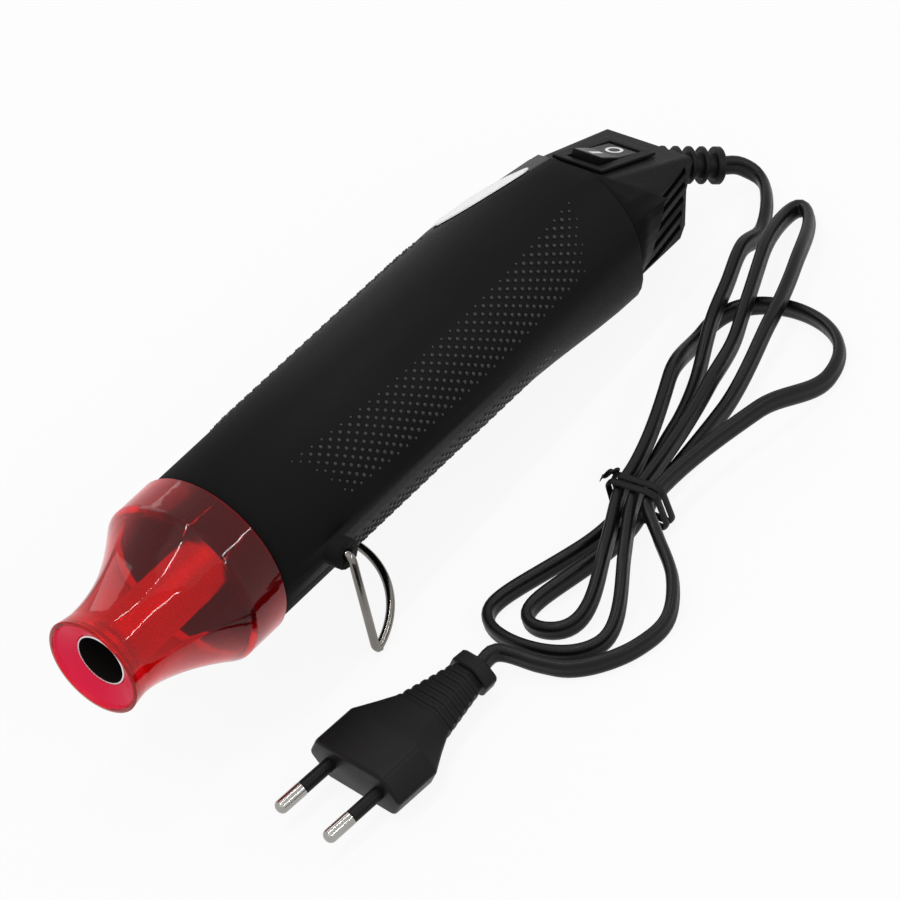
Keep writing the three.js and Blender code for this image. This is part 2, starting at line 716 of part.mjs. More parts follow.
function tailCap() {
  const front = bodyRear + CLEARANCE;
  const wide = 4 * BODY_RADIUS;
  let cap = rod(front, tailEnd, BODY_RADIUS - TAIL_REBATE, ROUND)
    .intersect(sidePrism(tailOutline(0, front), wide))
    .intersect(planPrism(tailPlan(front), wide))
    .subtract(outsidePlateFlat(0))
    .subtract(aboveFace());
  cap = cap.subtract(ventPocket()).subtract(ventPocket().mirror([0, 1, 0]));
  const hollowFront = front - CUT_PAST;
  const hollow = rod(hollowFront, tailEnd, bodyBore - TAIL_BORE_STEP, ROUND)
    .intersect(sidePrism(tailOutline(TAIL_WALL, hollowFront), 2 * (POCKET_REAR_HALF_WIDTH - TAIL_WALL)))
    .intersect(underFace(TAIL_WALL))
    .subtract(outsidePlateFlat(TAIL_WALL));
  const spigotOuter = bodyBore - CLEARANCE;
  const spigotRear = front + CUT_PAST / 2;
  const spigot = pipe(bodyRear - TAIL_SPIGOT_LENGTH, spigotRear, spigotOuter - TAIL_WALL, spigotOuter)
    .subtract(aboveFace().translate([0, 0, -TAIL_WALL / 2]))
    .subtract(outsidePlateFlat(BODY_WALL + CLEARANCE));
  cap = cap.subtract(hollow).add(spigot);
  for (let i = 0; i < SLOT_COUNT; i++) cap = cap.subtract(ventSlot(i));
  const opening = block(SWITCH_LENGTH + 2 * CLEARANCE, SWITCH_WIDTH + 2 * CLEARANCE, 4 * TAIL_WALL);
  cap = cap.subtract(onFace(opening));
  const glandRoom = rod(-GLAND_LENGTH / 2, GLAND_LENGTH, GLAND_CORE_RADIUS + CLEARANCE);
  const flangeRoom = rod(-GLAND_LENGTH / 2, glandInside + CLEARANCE, glandFlangeRadius + CLEARANCE);
  cap = cap.subtract(onGland(glandRoom.add(flangeRoom)));
  for (const { turn } of tailScrews) {
    cap = cap.subtract(radialRod(0, BODY_RADIUS, TAIL_SCREW_RADIUS + CLEARANCE, turn));
  }
  return cap;
}
piece(tool, "tail_cap", tailCap(), blackPlastic);

for (const { name, turn } of tailScrews) {
  const headTop = tailScrewSeat + TAIL_SCREW_HEAD;
  const shank = radialRod(bodyBore - TAIL_SCREW_GRIP, headTop, TAIL_SCREW_RADIUS, turn);
  const head = radialRod(tailScrewSeat, headTop, TAIL_SCREW_HEAD_RADIUS, turn);
  piece(tool, name, shank.add(head), steel);
}

// Switch: a box with a bezel on the face, open above for the rocker
const wellLength = SWITCH_LENGTH - BEZEL_RIM;
const wellWidth = SWITCH_WIDTH - 2 * BEZEL_RIM;
function switchBody() {
  const rim = block(SWITCH_LENGTH + 2 * BEZEL_RIM, SWITCH_WIDTH + 2 * BEZEL_RIM, BEZEL_PROUD)
    .translate([0, 0, CLEARANCE + BEZEL_PROUD / 2]);
  const box = block(SWITCH_LENGTH, SWITCH_WIDTH, SWITCH_DEPTH)
    .translate([0, 0, CLEARANCE + BEZEL_PROUD - SWITCH_DEPTH / 2]);
  const well = block(wellLength, wellWidth, SWITCH_DEPTH)
    .translate([0, 0, CLEARANCE + BEZEL_PROUD + WELL_FLOOR - SWITCH_DEPTH / 2]);
  return rim.add(box).subtract(well);
}
piece(tool, "switch_body", onFace(switchBody()), blackPlastic);

// Rocker: a shallow V that turns on a pivot under its middle. At rest its rear end is pressed in.
function rocker() {
  const half = wellLength / 2 - ROCKER_END_GAP;
  const crown = BEZEL_PROUD + ROCKER_CROWN;
  const outline = [
    [-half, -ROCKER_SKIRT],
    [0, -ROCKER_KEEL],
    [half, -ROCKER_SKIRT],
    [half, crown],
    [0, crown - ROCKER_DISH],
    [-half, crown],
  ];
  return sidePrism(outline, wellWidth - 2 * CLEARANCE)
    .translate([0, 0, ROCKER_PIVOT_DEPTH])
    .rotate([0, THREE.MathUtils.radToDeg(ROCKER_TILT), 0])
    .translate([0, 0, -ROCKER_PIVOT_DEPTH]);
}
piece(tool, "rocker", onFace(rocker()), blackPlastic);

// Wire stand: pins in the bosses, two straight legs, and a round foot that rises to the rear
function wireStand() {
  const legY = bossFace + CLEARANCE + WIRE_RADIUS;
  const footZ = pivotZ - LEG_LENGTH;
  const arcTop = -BODY_RADIUS - FOOT_GAP - WIRE_RADIUS;
  const half = [new THREE.Vector3(pivotX, -(bossFace - PIN_DEPTH + CLEARANCE), pivotZ)];
  const bends = 4;
  for (let i = 0; i <= bends; i++) {
    const angle = (Math.PI / 2) * (i / bends);
    const y = -(legY - WIRE_BEND * (1 - Math.sin(angle)));
    half.push(new THREE.Vector3(pivotX, y, pivotZ - WIRE_BEND * (1 - Math.cos(angle))));
  }
  for (let i = 0; i <= bends; i++) {
    const t = i / bends;
    half.push(new THREE.Vector3(pivotX + (WIRE_BEND / 2) * t * t, -legY, footZ + WIRE_BEND * (1 - t)));
  }
  const arcSteps = 20;
  const foot = [];
  for (let i = 1; i < arcSteps; i++) {
    const angle = (Math.PI * i) / arcSteps;
    const back = Math.sin(angle);
    const z = THREE.MathUtils.lerp(footZ, arcTop, back);
    foot.push(new THREE.Vector3(pivotX + FOOT_REACH * back, -legY * Math.cos(angle), z));
  }
  const far = half.map((p) => new THREE.Vector3(p.x, -p.y, p.z)).reverse();
  return wire([...half, ...foot, ...far], WIRE_RADIUS, 8);
}
piece(tool, "bail_stand", wireStand(), steel);

// Rating plate: a thin bare plate on its flat, which narrows towards the front
function ratingPlate() {
  const rear = bodyRear - PLATE_FROM_REAR;
  const steps = 14;
  const rings = [];
  for (let i = 0; i <= steps; i++) {
    const t = (1 - Math.cos((Math.PI * i) / steps)) / 2;
    const x = rear - PLATE_LENGTH * (1 - t);
    const rounded = 1 - (1 - PLATE_END_SHARE) * Math.abs(2 * t - 1) ** PLATE_ROUNDING;
    const half = (Math.sqrt(BODY_RADIUS ** 2 - plateFlatHeight(x) ** 2) - PLATE_MARGIN) * rounded;
    const low = CLEARANCE;
    const high = CLEARANCE + PLATE_THICKNESS;
    const along = (x - plateFlatFront) / Math.cos(PLATE_FLAT_TILT);
    const outline = [[half, low], [half, high], [-half, high], [-half, low]];
    rings.push(outline.map(([y, z]) => new THREE.Vector3(along, y, z)));
  }
  return onPlateFlat(loft(rings), 0);
}
piece(tool, "rating_plate", ratingPlate(), platePaper);

// Fan motor on its mount, with the fan in front and the rectifier behind
const shaftHole = SHAFT_RADIUS + CLEARANCE;
const mountRear = motorFront - CLEARANCE;
const mountFront = mountRear - MOUNT_THICKNESS;
const screwPlaces = [1, -1].map((side) => ({
  name: side > 0 ? "motor_screw_far" : "motor_screw_near",
  y: (side * MOTOR_SCREW_PITCH) / 2,
}));

function motorMount() {
  const front = mountFront - CUT_PAST;
  const rear = mountRear + CUT_PAST;
  const mountRadius = bodyBore - CLEARANCE;
  const spokes = block(4 * MOUNT_THICKNESS, MOUNT_SPOKE, 4 * BODY_RADIUS)
    .add(block(4 * MOUNT_THICKNESS, 4 * BODY_RADIUS, MOUNT_SPOKE))
    .translate([mountFront, 0, 0]);
  const windows = pipe(front, rear, MOTOR_RADIUS + MOUNT_SEAT, mountRadius - MOUNT_RIM).subtract(spokes);
  let plate = rod(mountFront, mountRear, mountRadius, ROUND).subtract(windows);
  plate = plate.subtract(rod(front, rear, BUSH_RADIUS + CLEARANCE));
  for (const { y } of screwPlaces) {
    const hole = rod(front, rear, MOTOR_SCREW_RADIUS + CLEARANCE);
    plate = plate.subtract(hole.translate([0, y, 0]));
  }
  return plate;
}
piece(tool, "motor_mount", motorMount(), whitePlastic);

let motorCan = pipe(motorFront, motorRear, shaftHole, MOTOR_RADIUS);
for (const { name, y } of screwPlaces) {
  const holeRear = motorFront + MOTOR_SCREW_GRIP;
  const hole = rod(motorFront - CUT_PAST, holeRear, MOTOR_SCREW_RADIUS + CLEARANCE);
  motorCan = motorCan.subtract(hole.translate([0, y, 0]));
  const headRear = mountFront - CLEARANCE;
  const head = rod(headRear - MOTOR_SCREW_HEAD, headRear, MOTOR_SCREW_HEAD_RADIUS);
  const shank = rod(headRear - MOTOR_SCREW_HEAD, holeRear - CLEARANCE, MOTOR_SCREW_RADIUS);
  piece(tool, name, head.add(shank).translate([0, y, 0]), steel);
}
piece(tool, "motor_can", motorCan, motorSteel);

const bushRear = motorFront - CLEARANCE;
piece(
  tool,
  "motor_bush",
  pipe(bushRear - MOUNT_THICKNESS - BUSH_PROUD, bushRear, shaftHole, BUSH_RADIUS, SMALL_ROUND),
  brass,
);

const capFront = motorRear + CLEARANCE;
const capRear = capFront + MOTOR_CAP;
const shaftRear = capRear - SHAFT_SETBACK;
piece(
  tool,
  "motor_end_cap",
  rod(capFront, capRear, MOTOR_RADIUS - CLEARANCE, ROUND).subtract(
    rod(capFront - CUT_PAST, shaftRear + CLEARANCE, shaftHole),
  ),
  blackPlastic,
);

const fanRear = bushRear - MOUNT_THICKNESS - BUSH_PROUD - FAN_GAP;
const fanFront = fanRear - FAN_LENGTH;
piece(tool, "motor_shaft", rod(fanFront + SHAFT_SETBACK, shaftRear, SHAFT_RADIUS), steel);

function fanImpeller() {
  const tip = bodyBore - FAN_TIP_GAP;
  const root = (shaftHole + FAN_HUB_RADIUS) / 2;
  const chord = FAN_LENGTH / Math.cos(FAN_PITCH);
  let fan = rod(fanFront, fanRear, FAN_HUB_RADIUS, SMALL_ROUND);
  for (let i = 0; i < FAN_BLADES; i++) {
    const blade = block(chord, FAN_BLADE, tip - root)
      .rotate([0, 0, THREE.MathUtils.radToDeg(FAN_PITCH)])
      .translate([(fanFront + fanRear) / 2, 0, (tip + root) / 2])
      .rotate([(360 * i) / FAN_BLADES, 0, 0]);
    fan = fan.add(blade);
  }
  const swept = rod(fanFront, fanRear, tip, ROUND);
  return fan.intersect(swept).subtract(rod(fanFront - CUT_PAST, fanRear + CUT_PAST, shaftHole));
}
piece(tool, "fan_impeller", fanImpeller(), whitePlastic);

const boardFront = capRear + CLEARANCE;
const boardRear = boardFront + BOARD_THICKNESS;
piece(tool, "rectifier_board", rod(boardFront, boardRear, BOARD_RADIUS, ROUND), boardGreen);
for (let i = 0; i < DIODES; i++) {
  const z = (i - (DIODES - 1) / 2) * DIODE_PITCH;
  const x = boardRear + CLEARANCE + DIODE_RADIUS;
  const diode = acrossAt(x, z, -DIODE_LENGTH / 2, DIODE_LENGTH / 2, DIODE_RADIUS);
  piece(tool, `diode_${i + 1}`, diode, blackPlastic);
}

// Cord gland: a finned rubber sleeve with a flange inside the tail and a collar at its end
function cordGland() {
  let gland = rod(glandInside, GLAND_LENGTH, GLAND_CORE_RADIUS);
  gland = gland.add(rod(glandInside - GLAND_FLANGE, glandInside, glandFlangeRadius));
  const collarFront = GLAND_LENGTH - GLAND_COLLAR;
  const finPitch = (collarFront - GLAND_BARE) / GLAND_FINS;
  for (let i = 0; i < GLAND_FINS; i++) {
    const at = GLAND_BARE + i * finPitch;
    gland = gland.add(rod(at, at + GLAND_FIN_SHARE * finPitch, GLAND_FIN_RADIUS));
  }
  return gland.add(rod(collarFront, GLAND_LENGTH, GLAND_FIN_RADIUS));
}
piece(tool, "cord_gland", onGland(cordGland()), rubberBlack);

// The tool stands on the corners of its wire foot and on its heel
const footLow = new THREE.Vector2(pivotX, pivotZ - LEG_LENGTH - WIRE_RADIUS);
const heelLow = new THREE.Vector2(bodyRear, -BODY_RADIUS - HEEL_DROP);
tool.rotation.y = Math.atan2(heelLow.y - footLow.y, heelLow.x - footLow.x);
tool.updateMatrixWorld(true);
const standing = new THREE.Box3().setFromObject(tool, true);
const middle = standing.getCenter(new THREE.Vector3());
tool.position.set(-middle.x, -middle.y, -standing.min.z);
tool.updateMatrixWorld(true);

// The lead, on the surface that the tool stands on, with its two layers at the waist above the tie
const restLayer = CORD_WIDE / 2 + FLOOR_GAP;
const layerPitch = CORD_WIDE + 2 * CLEARANCE;
const lowLayer = restLayer + TIE_THICKNESS + 2 * CLEARANCE;
const waistLayer = [lowLayer, lowLayer + layerPitch];
const inHank = (along, across, z) => new THREE.Vector3(WAIST_X + along, WAIST_Y + across, z);

// Each lobe leaves the waist on the far side and comes back on the near side. A lobe has its reach
// along the hank, its spread, its lean and bow, the slots and layers of the waist that it joins, how far
// it stays raised there, and where it humps over another lobe.
const lobes = [
  { reach: -53, spread: 33, lean: 0, bow: -4.5, slots: [5, 0.2], layers: [0, 1], hold: 20 },
  { reach: 112, spread: 11, lean: 14.5, bow: -7, slots: [0.2, 0], layers: [1, 0], hold: 39, hump: 78 },
  { reach: -46, spread: 18, lean: 1, bow: -4, slots: [0, 5.2], layers: [0, 1], hold: 20 },
  { reach: 79, spread: 37, lean: 4.5, bow: 0, slots: [5.2, -4.8], layers: [1, 1], hold: 38 },
];

function lobePoints({ reach, spread, lean, bow, slots, layers, hold, hump }, count) {
  const slant = Math.sign(reach) * Math.tan(THREE.MathUtils.degToRad(lean));
  return Array.from({ length: count + 1 }, (_, i) => {
    const s = i / count;
    const out = Math.max(Math.sin(Math.PI * s), 0) ** LOBE_ROUNDNESS;
    const slot = THREE.MathUtils.lerp(slots[0], slots[1], smooth(s)) * (1 - SLOT_FADE * out);
    const along = reach * out;
    const middle = Math.abs(along) * slant + bow * Math.sin(Math.PI * out);
    const across = (spread / 2) * Math.sin(2 * Math.PI * s) + slot + middle;
    const layer = waistLayer[layers[s < 0.5 ? 0 : 1]];
    const fall = smooth((Math.abs(along) - hold) / WAIST_FALL);
    const fromHump = hump ? Math.abs(along - hump) : Infinity;
    const rise = layerPitch * (1 - smooth((fromHump - HUMP_HOLD) / HUMP_FALL));
    return inHank(along, across, THREE.MathUtils.lerp(layer, restLayer, fall) + rise);
  });
}

// Even steps along a dense line of points
function evenly(points, step) {
  const lengths = [0];
  for (let i = 1; i < points.length; i++) {
    lengths.push(lengths[i - 1] + points[i].distanceTo(points[i - 1]));
  }
  const total = lengths[lengths.length - 1];
  const count = Math.max(2, Math.round(total / step));
  const out = [];
  let k = 1;
  for (let i = 0; i <= count; i++) {
    const want = (total * i) / count;
    while (k < lengths.length - 1 && lengths[k] < want) k++;
    const t = (want - lengths[k - 1]) / (lengths[k] - lengths[k - 1] || 1);
    out.push(points[k - 1].clone().lerp(points[k], t));
  }
  return out;
}

// Route of the lead from the gland to the waist, and of the tail from the waist to the plug
const glandEnd = tool.localToWorld(glandRoot.clone().addScaledVector(glandAlong, GLAND_LENGTH + CLEARANCE));
const glandOut = glandAlong.clone().transformDirection(tool.matrixWorld);
const plugPlace = new THREE.Vector3(PLUG_X, PLUG_Y, PLUG_HEIGHT / 2);
const plugAlong = new THREE.Vector3(Math.cos(PLUG_HEADING), Math.sin(PLUG_HEADING), 0);
const plugTail = plugPlace.clone().addScaledVector(plugAlong, -PLUG_LENGTH - CLEARANCE);

const leadPoints = [
  glandEnd,
  glandEnd.clone().addScaledVector(glandOut, CORD_WIDE),
  new THREE.Vector3(128.1, -19, restLayer),
  new THREE.Vector3(121.6, -26, restLayer),
  new THREE.Vector3(110.5, -32, restLayer),
  inHank(88, 31, restLayer + layerPitch),
  inHank(75, 26.3, restLayer + layerPitch),
  inHank(61, 21.3, restLayer + layerPitch),
  inHank(45, 16, restLayer + 1),
  inHank(33, 12, waistLayer[0] - 1),
  inHank(WAIST_HOLD, 9, waistLayer[0]),
  inHank(WAIST_HOLD / 2, 6.6, waistLayer[0]),
  inHank(0, 5, waistLayer[0]),
];
const tailPoints = [
  inHank(0, -4.8, waistLayer[1]),
  inHank(-CORD_THICK, -6, waistLayer[1]),
  inHank(-WAIST_HOLD / 2, -15, waistLayer[1]),
  inHank(-19.4, -25, waistLayer[1] - 4),
  inHank(-29.4, -29.5, restLayer),
  inHank(-40.4, -28, restLayer),
  inHank(-49.4, -22, restLayer),
  inHank(-54.4, -15, restLayer),
  inHank(-56.8, -8, restLayer + 1),
  plugTail.clone().addScaledVector(plugAlong, -CORD_WIDE),
  plugTail,
];
const curveThrough = (points) =>
  new THREE.CatmullRomCurve3(points, false, "centripetal").getPoints(points.length * CURVE_STEPS);

const leadRoute = evenly(curveThrough(leadPoints), CORD_STEP);
const hankRoute = evenly(lobes.flatMap((lobe, i) => lobePoints(lobe, LOBE_STEPS).slice(i ? 1 : 0)), CORD_STEP);
const tailRoute = evenly(curveThrough(tailPoints), CORD_STEP);

// Draws an end of a stretch back by half the clearance, so that two stretches meet face to face
function drawnBack(route, atHead, atTail) {
  const out = route.map((p) => p.clone());
  const shift = (end, next) => {
    const inwards = out[next].clone().sub(out[end]).normalize();
    out[end].addScaledVector(inwards, CLEARANCE / 2);
  };
  if (atHead) shift(0, 1);
  if (atTail) shift(out.length - 1, out.length - 2);
  return out;
}

const halfThick = CORD_THICK / 2;
const halfWide = CORD_WIDE / 2;
const halfFlat = CORD_FLAT_SHARE * halfWide;
const cordSection = [
  [halfThick, -halfFlat],
  [halfThick, halfFlat],
  [0, halfWide],
  [-halfThick, halfFlat],
  [-halfThick, -halfFlat],
  [0, -halfWide],
];
const leadLast = leadRoute[leadRoute.length - 2];
const hankLast = hankRoute[hankRoute.length - 2];
const lead = sweep(drawnBack(leadRoute, false, true), cordSection, leadRoute[0], hankRoute[1]);
const hank = sweep(drawnBack(hankRoute, true, true), cordSection, leadLast, tailRoute[1]);
const tail = sweep(drawnBack(tailRoute, true, false), cordSection, hankLast);
piece(part, "cord_lead", lead, rubberBlack);
piece(part, "cord_hank", hank, rubberBlack);
piece(part, "cord_tail", tail, rubberBlack);

// Least gap of the lead to itself, on points a millimetre apart, between places that lie apart along it
function leastGap(route, apart) {
  const points = evenly(route, 1);
  let least = Infinity;
  let where = null;
  for (let i = 0; i < points.length; i++) {
    for (let j = i + Math.ceil(apart); j < points.length; j++) {
      const flat = Math.hypot(points[i].x - points[j].x, points[i].y - points[j].y) - CORD_THICK;
      const gap = Math.max(flat, Math.abs(points[i].z - points[j].z) - CORD_WIDE);
      if (gap < least) {
        least = gap;
        where = points[i];
      }
    }
  }
  return { least, where, length: points.length };
}
const wholeRoute = [...leadRoute, ...hankRoute.slice(1), ...tailRoute.slice(1)];
const gap = leastGap(wholeRoute, 8 * CORD_THICK);
console.log(
  `lead: ${gap.length} mm long, least gap to itself ${gap.least.toFixed(2)} mm`,
  gap.where.toArray().map((n) => Math.round(n)).join(" "),
);

// Tie: a flat band round the waist
function cordTie() {
  const halfInner = Math.max(...lobes.flatMap(({ slots }) => slots)) + halfThick + 2 * CLEARANCE;
  const low = FLOOR_GAP + TIE_THICKNESS / 2;
  const high = waistLayer[1] + halfWide + CLEARANCE + TIE_THICKNESS / 2;
  const halfBand = halfInner + TIE_THICKNESS / 2;
  const rings = [];
  const steps = 5;
  const centres = [
    [halfBand - TIE_CORNER, high - TIE_CORNER, 0],
    [-halfBand + TIE_CORNER, high - TIE_CORNER, 90],
    [-halfBand + TIE_CORNER, low + TIE_CORNER, 180],
    [halfBand - TIE_CORNER, low + TIE_CORNER, 270],
  ];
  for (const [across, z, start] of centres) {
    for (let i = 0; i <= steps; i++) {
      const angle = THREE.MathUtils.degToRad(start + (90 * i) / steps);
      const at = (r, along) =>
        inHank(along, across + r * Math.cos(angle), z + r * Math.sin(angle));
      const inner = TIE_CORNER - TIE_THICKNESS / 2;
      const outer = TIE_CORNER + TIE_THICKNESS / 2;
      const half = TIE_WIDTH / 2;
      rings.push([at(inner, -half), at(outer, -half), at(outer, half), at(inner, half)]);
    }
  }
  return loft(rings, true);
}
piece(part, "cord_tie", cordTie(), rubberBlack);

// Plug: a flat hexagonal body that narrows to a ribbed neck, drawn along X with its face at 0
const plug = new THREE.Group();
plug.position.copy(plugPlace);
plug.rotation.z = PLUG_HEADING;
part.add(plug);

// Pins, sleeved where they leave the body, which holds their roots
const sleeveRadius = PIN_RADIUS - SLEEVE_STEP;
const pinPlaces = [1, -1].map((side) => ({
  name: side > 0 ? "left" : "right",
  y: (side * PIN_SPACING) / 2,
}));

function plugBody() {
  const hexagon = (x, width, height) => {
    const side = width / 2;
    const flat = side - (PLUG_BEVEL * height) / PLUG_HEIGHT;
    const top = height / 2;
    const points = [[side, 0], [flat, top], [-flat, top], [-side, 0], [-flat, -top], [flat, -top]];
    return points.map(([y, z]) => new THREE.Vector3(x, y, z));
  };
  const rings = [
    hexagon(0, PLUG_WIDTH - 2 * PLUG_EDGE, PLUG_HEIGHT - 2 * PLUG_EDGE),
    hexagon(-PLUG_EDGE, PLUG_WIDTH, PLUG_HEIGHT),
    hexagon(-PLUG_BLOCK_LENGTH, PLUG_WIDTH, PLUG_HEIGHT),
    hexagon(-PLUG_SHOULDER_LENGTH, PLUG_SHOULDER_WIDTH, PLUG_SHOULDER_HEIGHT),
    hexagon(-NECK_START, NECK_WIDTH, NECK_HEIGHT),
  ];
  const collarFront = PLUG_LENGTH - PLUG_COLLAR;
  const ribPitch = (collarFront - NECK_START) / NECK_RIBS;
  for (let i = 0; i < NECK_RIBS; i++) {
    const at = (share, depth) => {
      const t = (i + share) / NECK_RIBS;
      const width = THREE.MathUtils.lerp(NECK_WIDTH, NECK_END_WIDTH, t) - depth;
      const height = THREE.MathUtils.lerp(NECK_HEIGHT, NECK_END_HEIGHT, t) - depth;
      return hexagon(-NECK_START - (i + share) * ribPitch, width, height);
    };
    rings.push(at(RIB_TOP_SHARE, 0));
    rings.push(at(RIB_FALL_SHARE, 2 * RIB_DEPTH));
    rings.push(at(RIB_GROOVE_SHARE, 2 * RIB_DEPTH));
  }
  rings.push(hexagon(-collarFront, PLUG_COLLAR_WIDTH, PLUG_COLLAR_HEIGHT));
  rings.push(hexagon(-PLUG_LENGTH, PLUG_COLLAR_WIDTH - PLUG_EDGE, PLUG_COLLAR_HEIGHT - PLUG_EDGE));
  let body = loft(rings);
  for (const { y } of pinPlaces) {
    const hole = rod(-PIN_ROOT - CLEARANCE, CUT_PAST, sleeveRadius + CLEARANCE);
    body = body.subtract(hole.translate([0, y, 0]));
  }
  return body;
}
piece(plug, "plug_body", plugBody(), blackPlastic);

for (const { name, y } of pinPlaces) {
  const coreRadius = sleeveRadius - SLEEVE_WALL - CLEARANCE;
  const pin = turned(
    [
      [-PIN_ROOT, 0],
      [-PIN_ROOT, coreRadius],
      [SLEEVE_LENGTH + CLEARANCE, coreRadius],
      [SLEEVE_LENGTH + CLEARANCE, PIN_RADIUS],
      [PIN_LENGTH - PIN_NOSE, PIN_RADIUS],
      [PIN_LENGTH - PIN_NOSE / 4, PIN_NOSE_SHARE * PIN_RADIUS],
      [PIN_LENGTH, 0],
    ],
    SMALL_ROUND,
  );
  const sleeve = pipe(-PIN_ROOT, SLEEVE_LENGTH, coreRadius + CLEARANCE, sleeveRadius, SMALL_ROUND);
  piece(plug, `plug_pin_${name}`, pin.translate([0, y, 0]), steel);
  piece(plug, `pin_sleeve_${name}`, sleeve.translate([0, y, 0]), blackPlastic);
}

export default part;
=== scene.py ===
# %% [markdown]
# # A mini hot air tool
# A black hand tool with a clear red nozzle guard, a rocker switch on its sloping tail, a folding wire
# stand, and a flat mains lead tied in a hank. The solids come from the frame, at their real size. This
# lesson gives every surface its finish and models anew what needs a finer form than the solids have.

# %% Load the frame
import json
from math import atan2, cos, exp, inf, pi, radians, sin, tan

import bmesh
import bpy
from mathutils import Matrix, Vector


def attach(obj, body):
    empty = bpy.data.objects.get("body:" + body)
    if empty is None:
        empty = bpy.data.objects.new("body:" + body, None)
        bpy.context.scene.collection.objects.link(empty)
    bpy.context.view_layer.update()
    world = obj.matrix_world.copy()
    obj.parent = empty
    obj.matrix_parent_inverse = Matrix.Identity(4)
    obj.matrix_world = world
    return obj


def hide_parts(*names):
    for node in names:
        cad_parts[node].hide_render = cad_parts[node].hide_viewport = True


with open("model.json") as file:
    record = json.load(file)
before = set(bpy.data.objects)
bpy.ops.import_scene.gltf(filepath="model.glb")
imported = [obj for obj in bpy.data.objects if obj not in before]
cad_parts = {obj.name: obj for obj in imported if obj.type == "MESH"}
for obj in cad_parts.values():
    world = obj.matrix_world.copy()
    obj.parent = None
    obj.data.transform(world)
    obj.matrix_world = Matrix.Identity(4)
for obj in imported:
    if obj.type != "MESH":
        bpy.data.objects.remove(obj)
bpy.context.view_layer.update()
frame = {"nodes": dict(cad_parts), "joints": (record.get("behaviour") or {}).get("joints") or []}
scene = bpy.context.scene
MM = 0.001
joints = {joint["name"]: joint for joint in frame["joints"]}
print("nodes:", len(frame["nodes"]), "joints:", sorted(joints))

# %% [markdown]
# ## The tool's own axes
# The tool leans on its stand, so it is easier to draw along its own axis: X from the nozzle's mouth to
# the rear, Z towards the switch, and -Y on the near side. The fan's axis and the stand's pivot, which
# the frame knows, say where that axis lies.

# %% Place things on the tool
PIVOT_X = 69
PIVOT_Z = -5

fan_axis = Vector(joints["fan_spin"]["axis"])
tool_tilt = atan2(-fan_axis.z, fan_axis.x)
tool_turn = Matrix.Rotation(tool_tilt, 4, "Y")
pivot_place = Vector(joints["bail_fold"]["pos_m"])
mouth_place = pivot_place - tool_turn @ (Vector((PIVOT_X, 0, PIVOT_Z)) * MM)
on_tool = Matrix.Translation(mouth_place) @ tool_turn @ Matrix.Scale(MM, 4)


def at(x, y, z):
    """A point of the tool's own frame, in mm, as a point of the model in metres."""
    return on_tool @ Vector((x, y, z))


print("mouth at", tuple(round(c, 4) for c in mouth_place))

# %% [markdown]
# ## The camera
# The photograph looks down on the tool from the near left, far away with a long lens, and the camera is
# rolled, so that upright things lean to the left in the picture. It could be aimed with a constraint, but
# a place, two angles and a roll, written as numbers, give the same view each time.

# %% Camera
CAMERA_PLACE = (-0.94295, -1.18944, 1.36445)
CAMERA_AZIMUTH = radians(-38.6901)
CAMERA_ELEVATION = radians(41.8379)
CAMERA_ROLL = radians(19.4453)
CAMERA_LENS = 306.555
CAMERA_SENSOR = 36
CAMERA_RANGE = 20

camera = bpy.data.objects.new("camera", bpy.data.cameras.new("camera"))
scene.collection.objects.link(camera)
camera.data.sensor_width = CAMERA_SENSOR
camera.data.lens = CAMERA_LENS
camera.data.clip_end = CAMERA_RANGE
backward = Vector((
    sin(CAMERA_AZIMUTH) * cos(CAMERA_ELEVATION),
    -cos(CAMERA_AZIMUTH) * cos(CAMERA_ELEVATION),
    sin(CAMERA_ELEVATION),
))
level = Vector((cos(CAMERA_AZIMUTH), sin(CAMERA_AZIMUTH), 0))
upward = backward.cross(level)
right = cos(CAMERA_ROLL) * level - sin(CAMERA_ROLL) * upward
top = sin(CAMERA_ROLL) * level + cos(CAMERA_ROLL) * upward
camera_turn = Matrix((right, top, backward)).transposed().to_4x4()
camera.matrix_world = Matrix.Translation(CAMERA_PLACE) @ camera_turn
scene.camera = camera
scene.view_settings.view_transform = "Standard"
print("camera at", CAMERA_PLACE)

# %% [markdown]
# ## Small helpers
# A skin of rings makes most of the turned and swept pieces: every ring has as many points as the next.
# A piece's place is in its mesh, and its object stays at the origin, so that it moves with its body and
# its patterns stay where they are.

# %% Meshes
SHARP = radians(32)
ROUND_SHARP = radians(60)
MERGE_DISTANCE = 1e-6


def finish_mesh(mesh, sharp=SHARP):
    """Merges double points, turns the faces outwards and shades them smooth between sharp edges."""
    work = bmesh.new()
    work.from_mesh(mesh)
    bmesh.ops.remove_doubles(work, verts=work.verts, dist=MERGE_DISTANCE)
    bmesh.ops.recalc_face_normals(work, faces=work.faces)
    work.to_mesh(mesh)
    work.free()
    mesh.shade_smooth()
    mesh.set_sharp_from_angle(angle=sharp)


def skin(rings, looped=False):
    """Points and faces of a skin over rings: capped at both ends, or closed into a loop."""
    count = len(rings[0])
    points = [point for ring in rings for point in ring]
    faces = []
    last = len(rings) if looped else len(rings) - 1
    for i in range(last):
        here = i * count
        there = (i + 1) % len(rings) * count
        for j in range(count):
            k = (j + 1) % count
            faces.append((here + j, there + j, there + k, here + k))
    if not looped:
        faces.append(tuple(range(count)))
        faces.append(tuple(range(len(points) - count, len(points))))
    return points, faces


print("faces of a skin over two squares:", len(skin([range(4), range(4)])[1]))


# %% Pieces on their bodies
def place_piece(name, mesh, body, replaced=()):
    """Puts a finished mesh on its body, in place of the nodes it stands for."""
    made = bpy.data.objects.new(name, mesh)
    scene.collection.objects.link(made)
    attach(made, body)
    if replaced:
        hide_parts(*replaced)
    return made


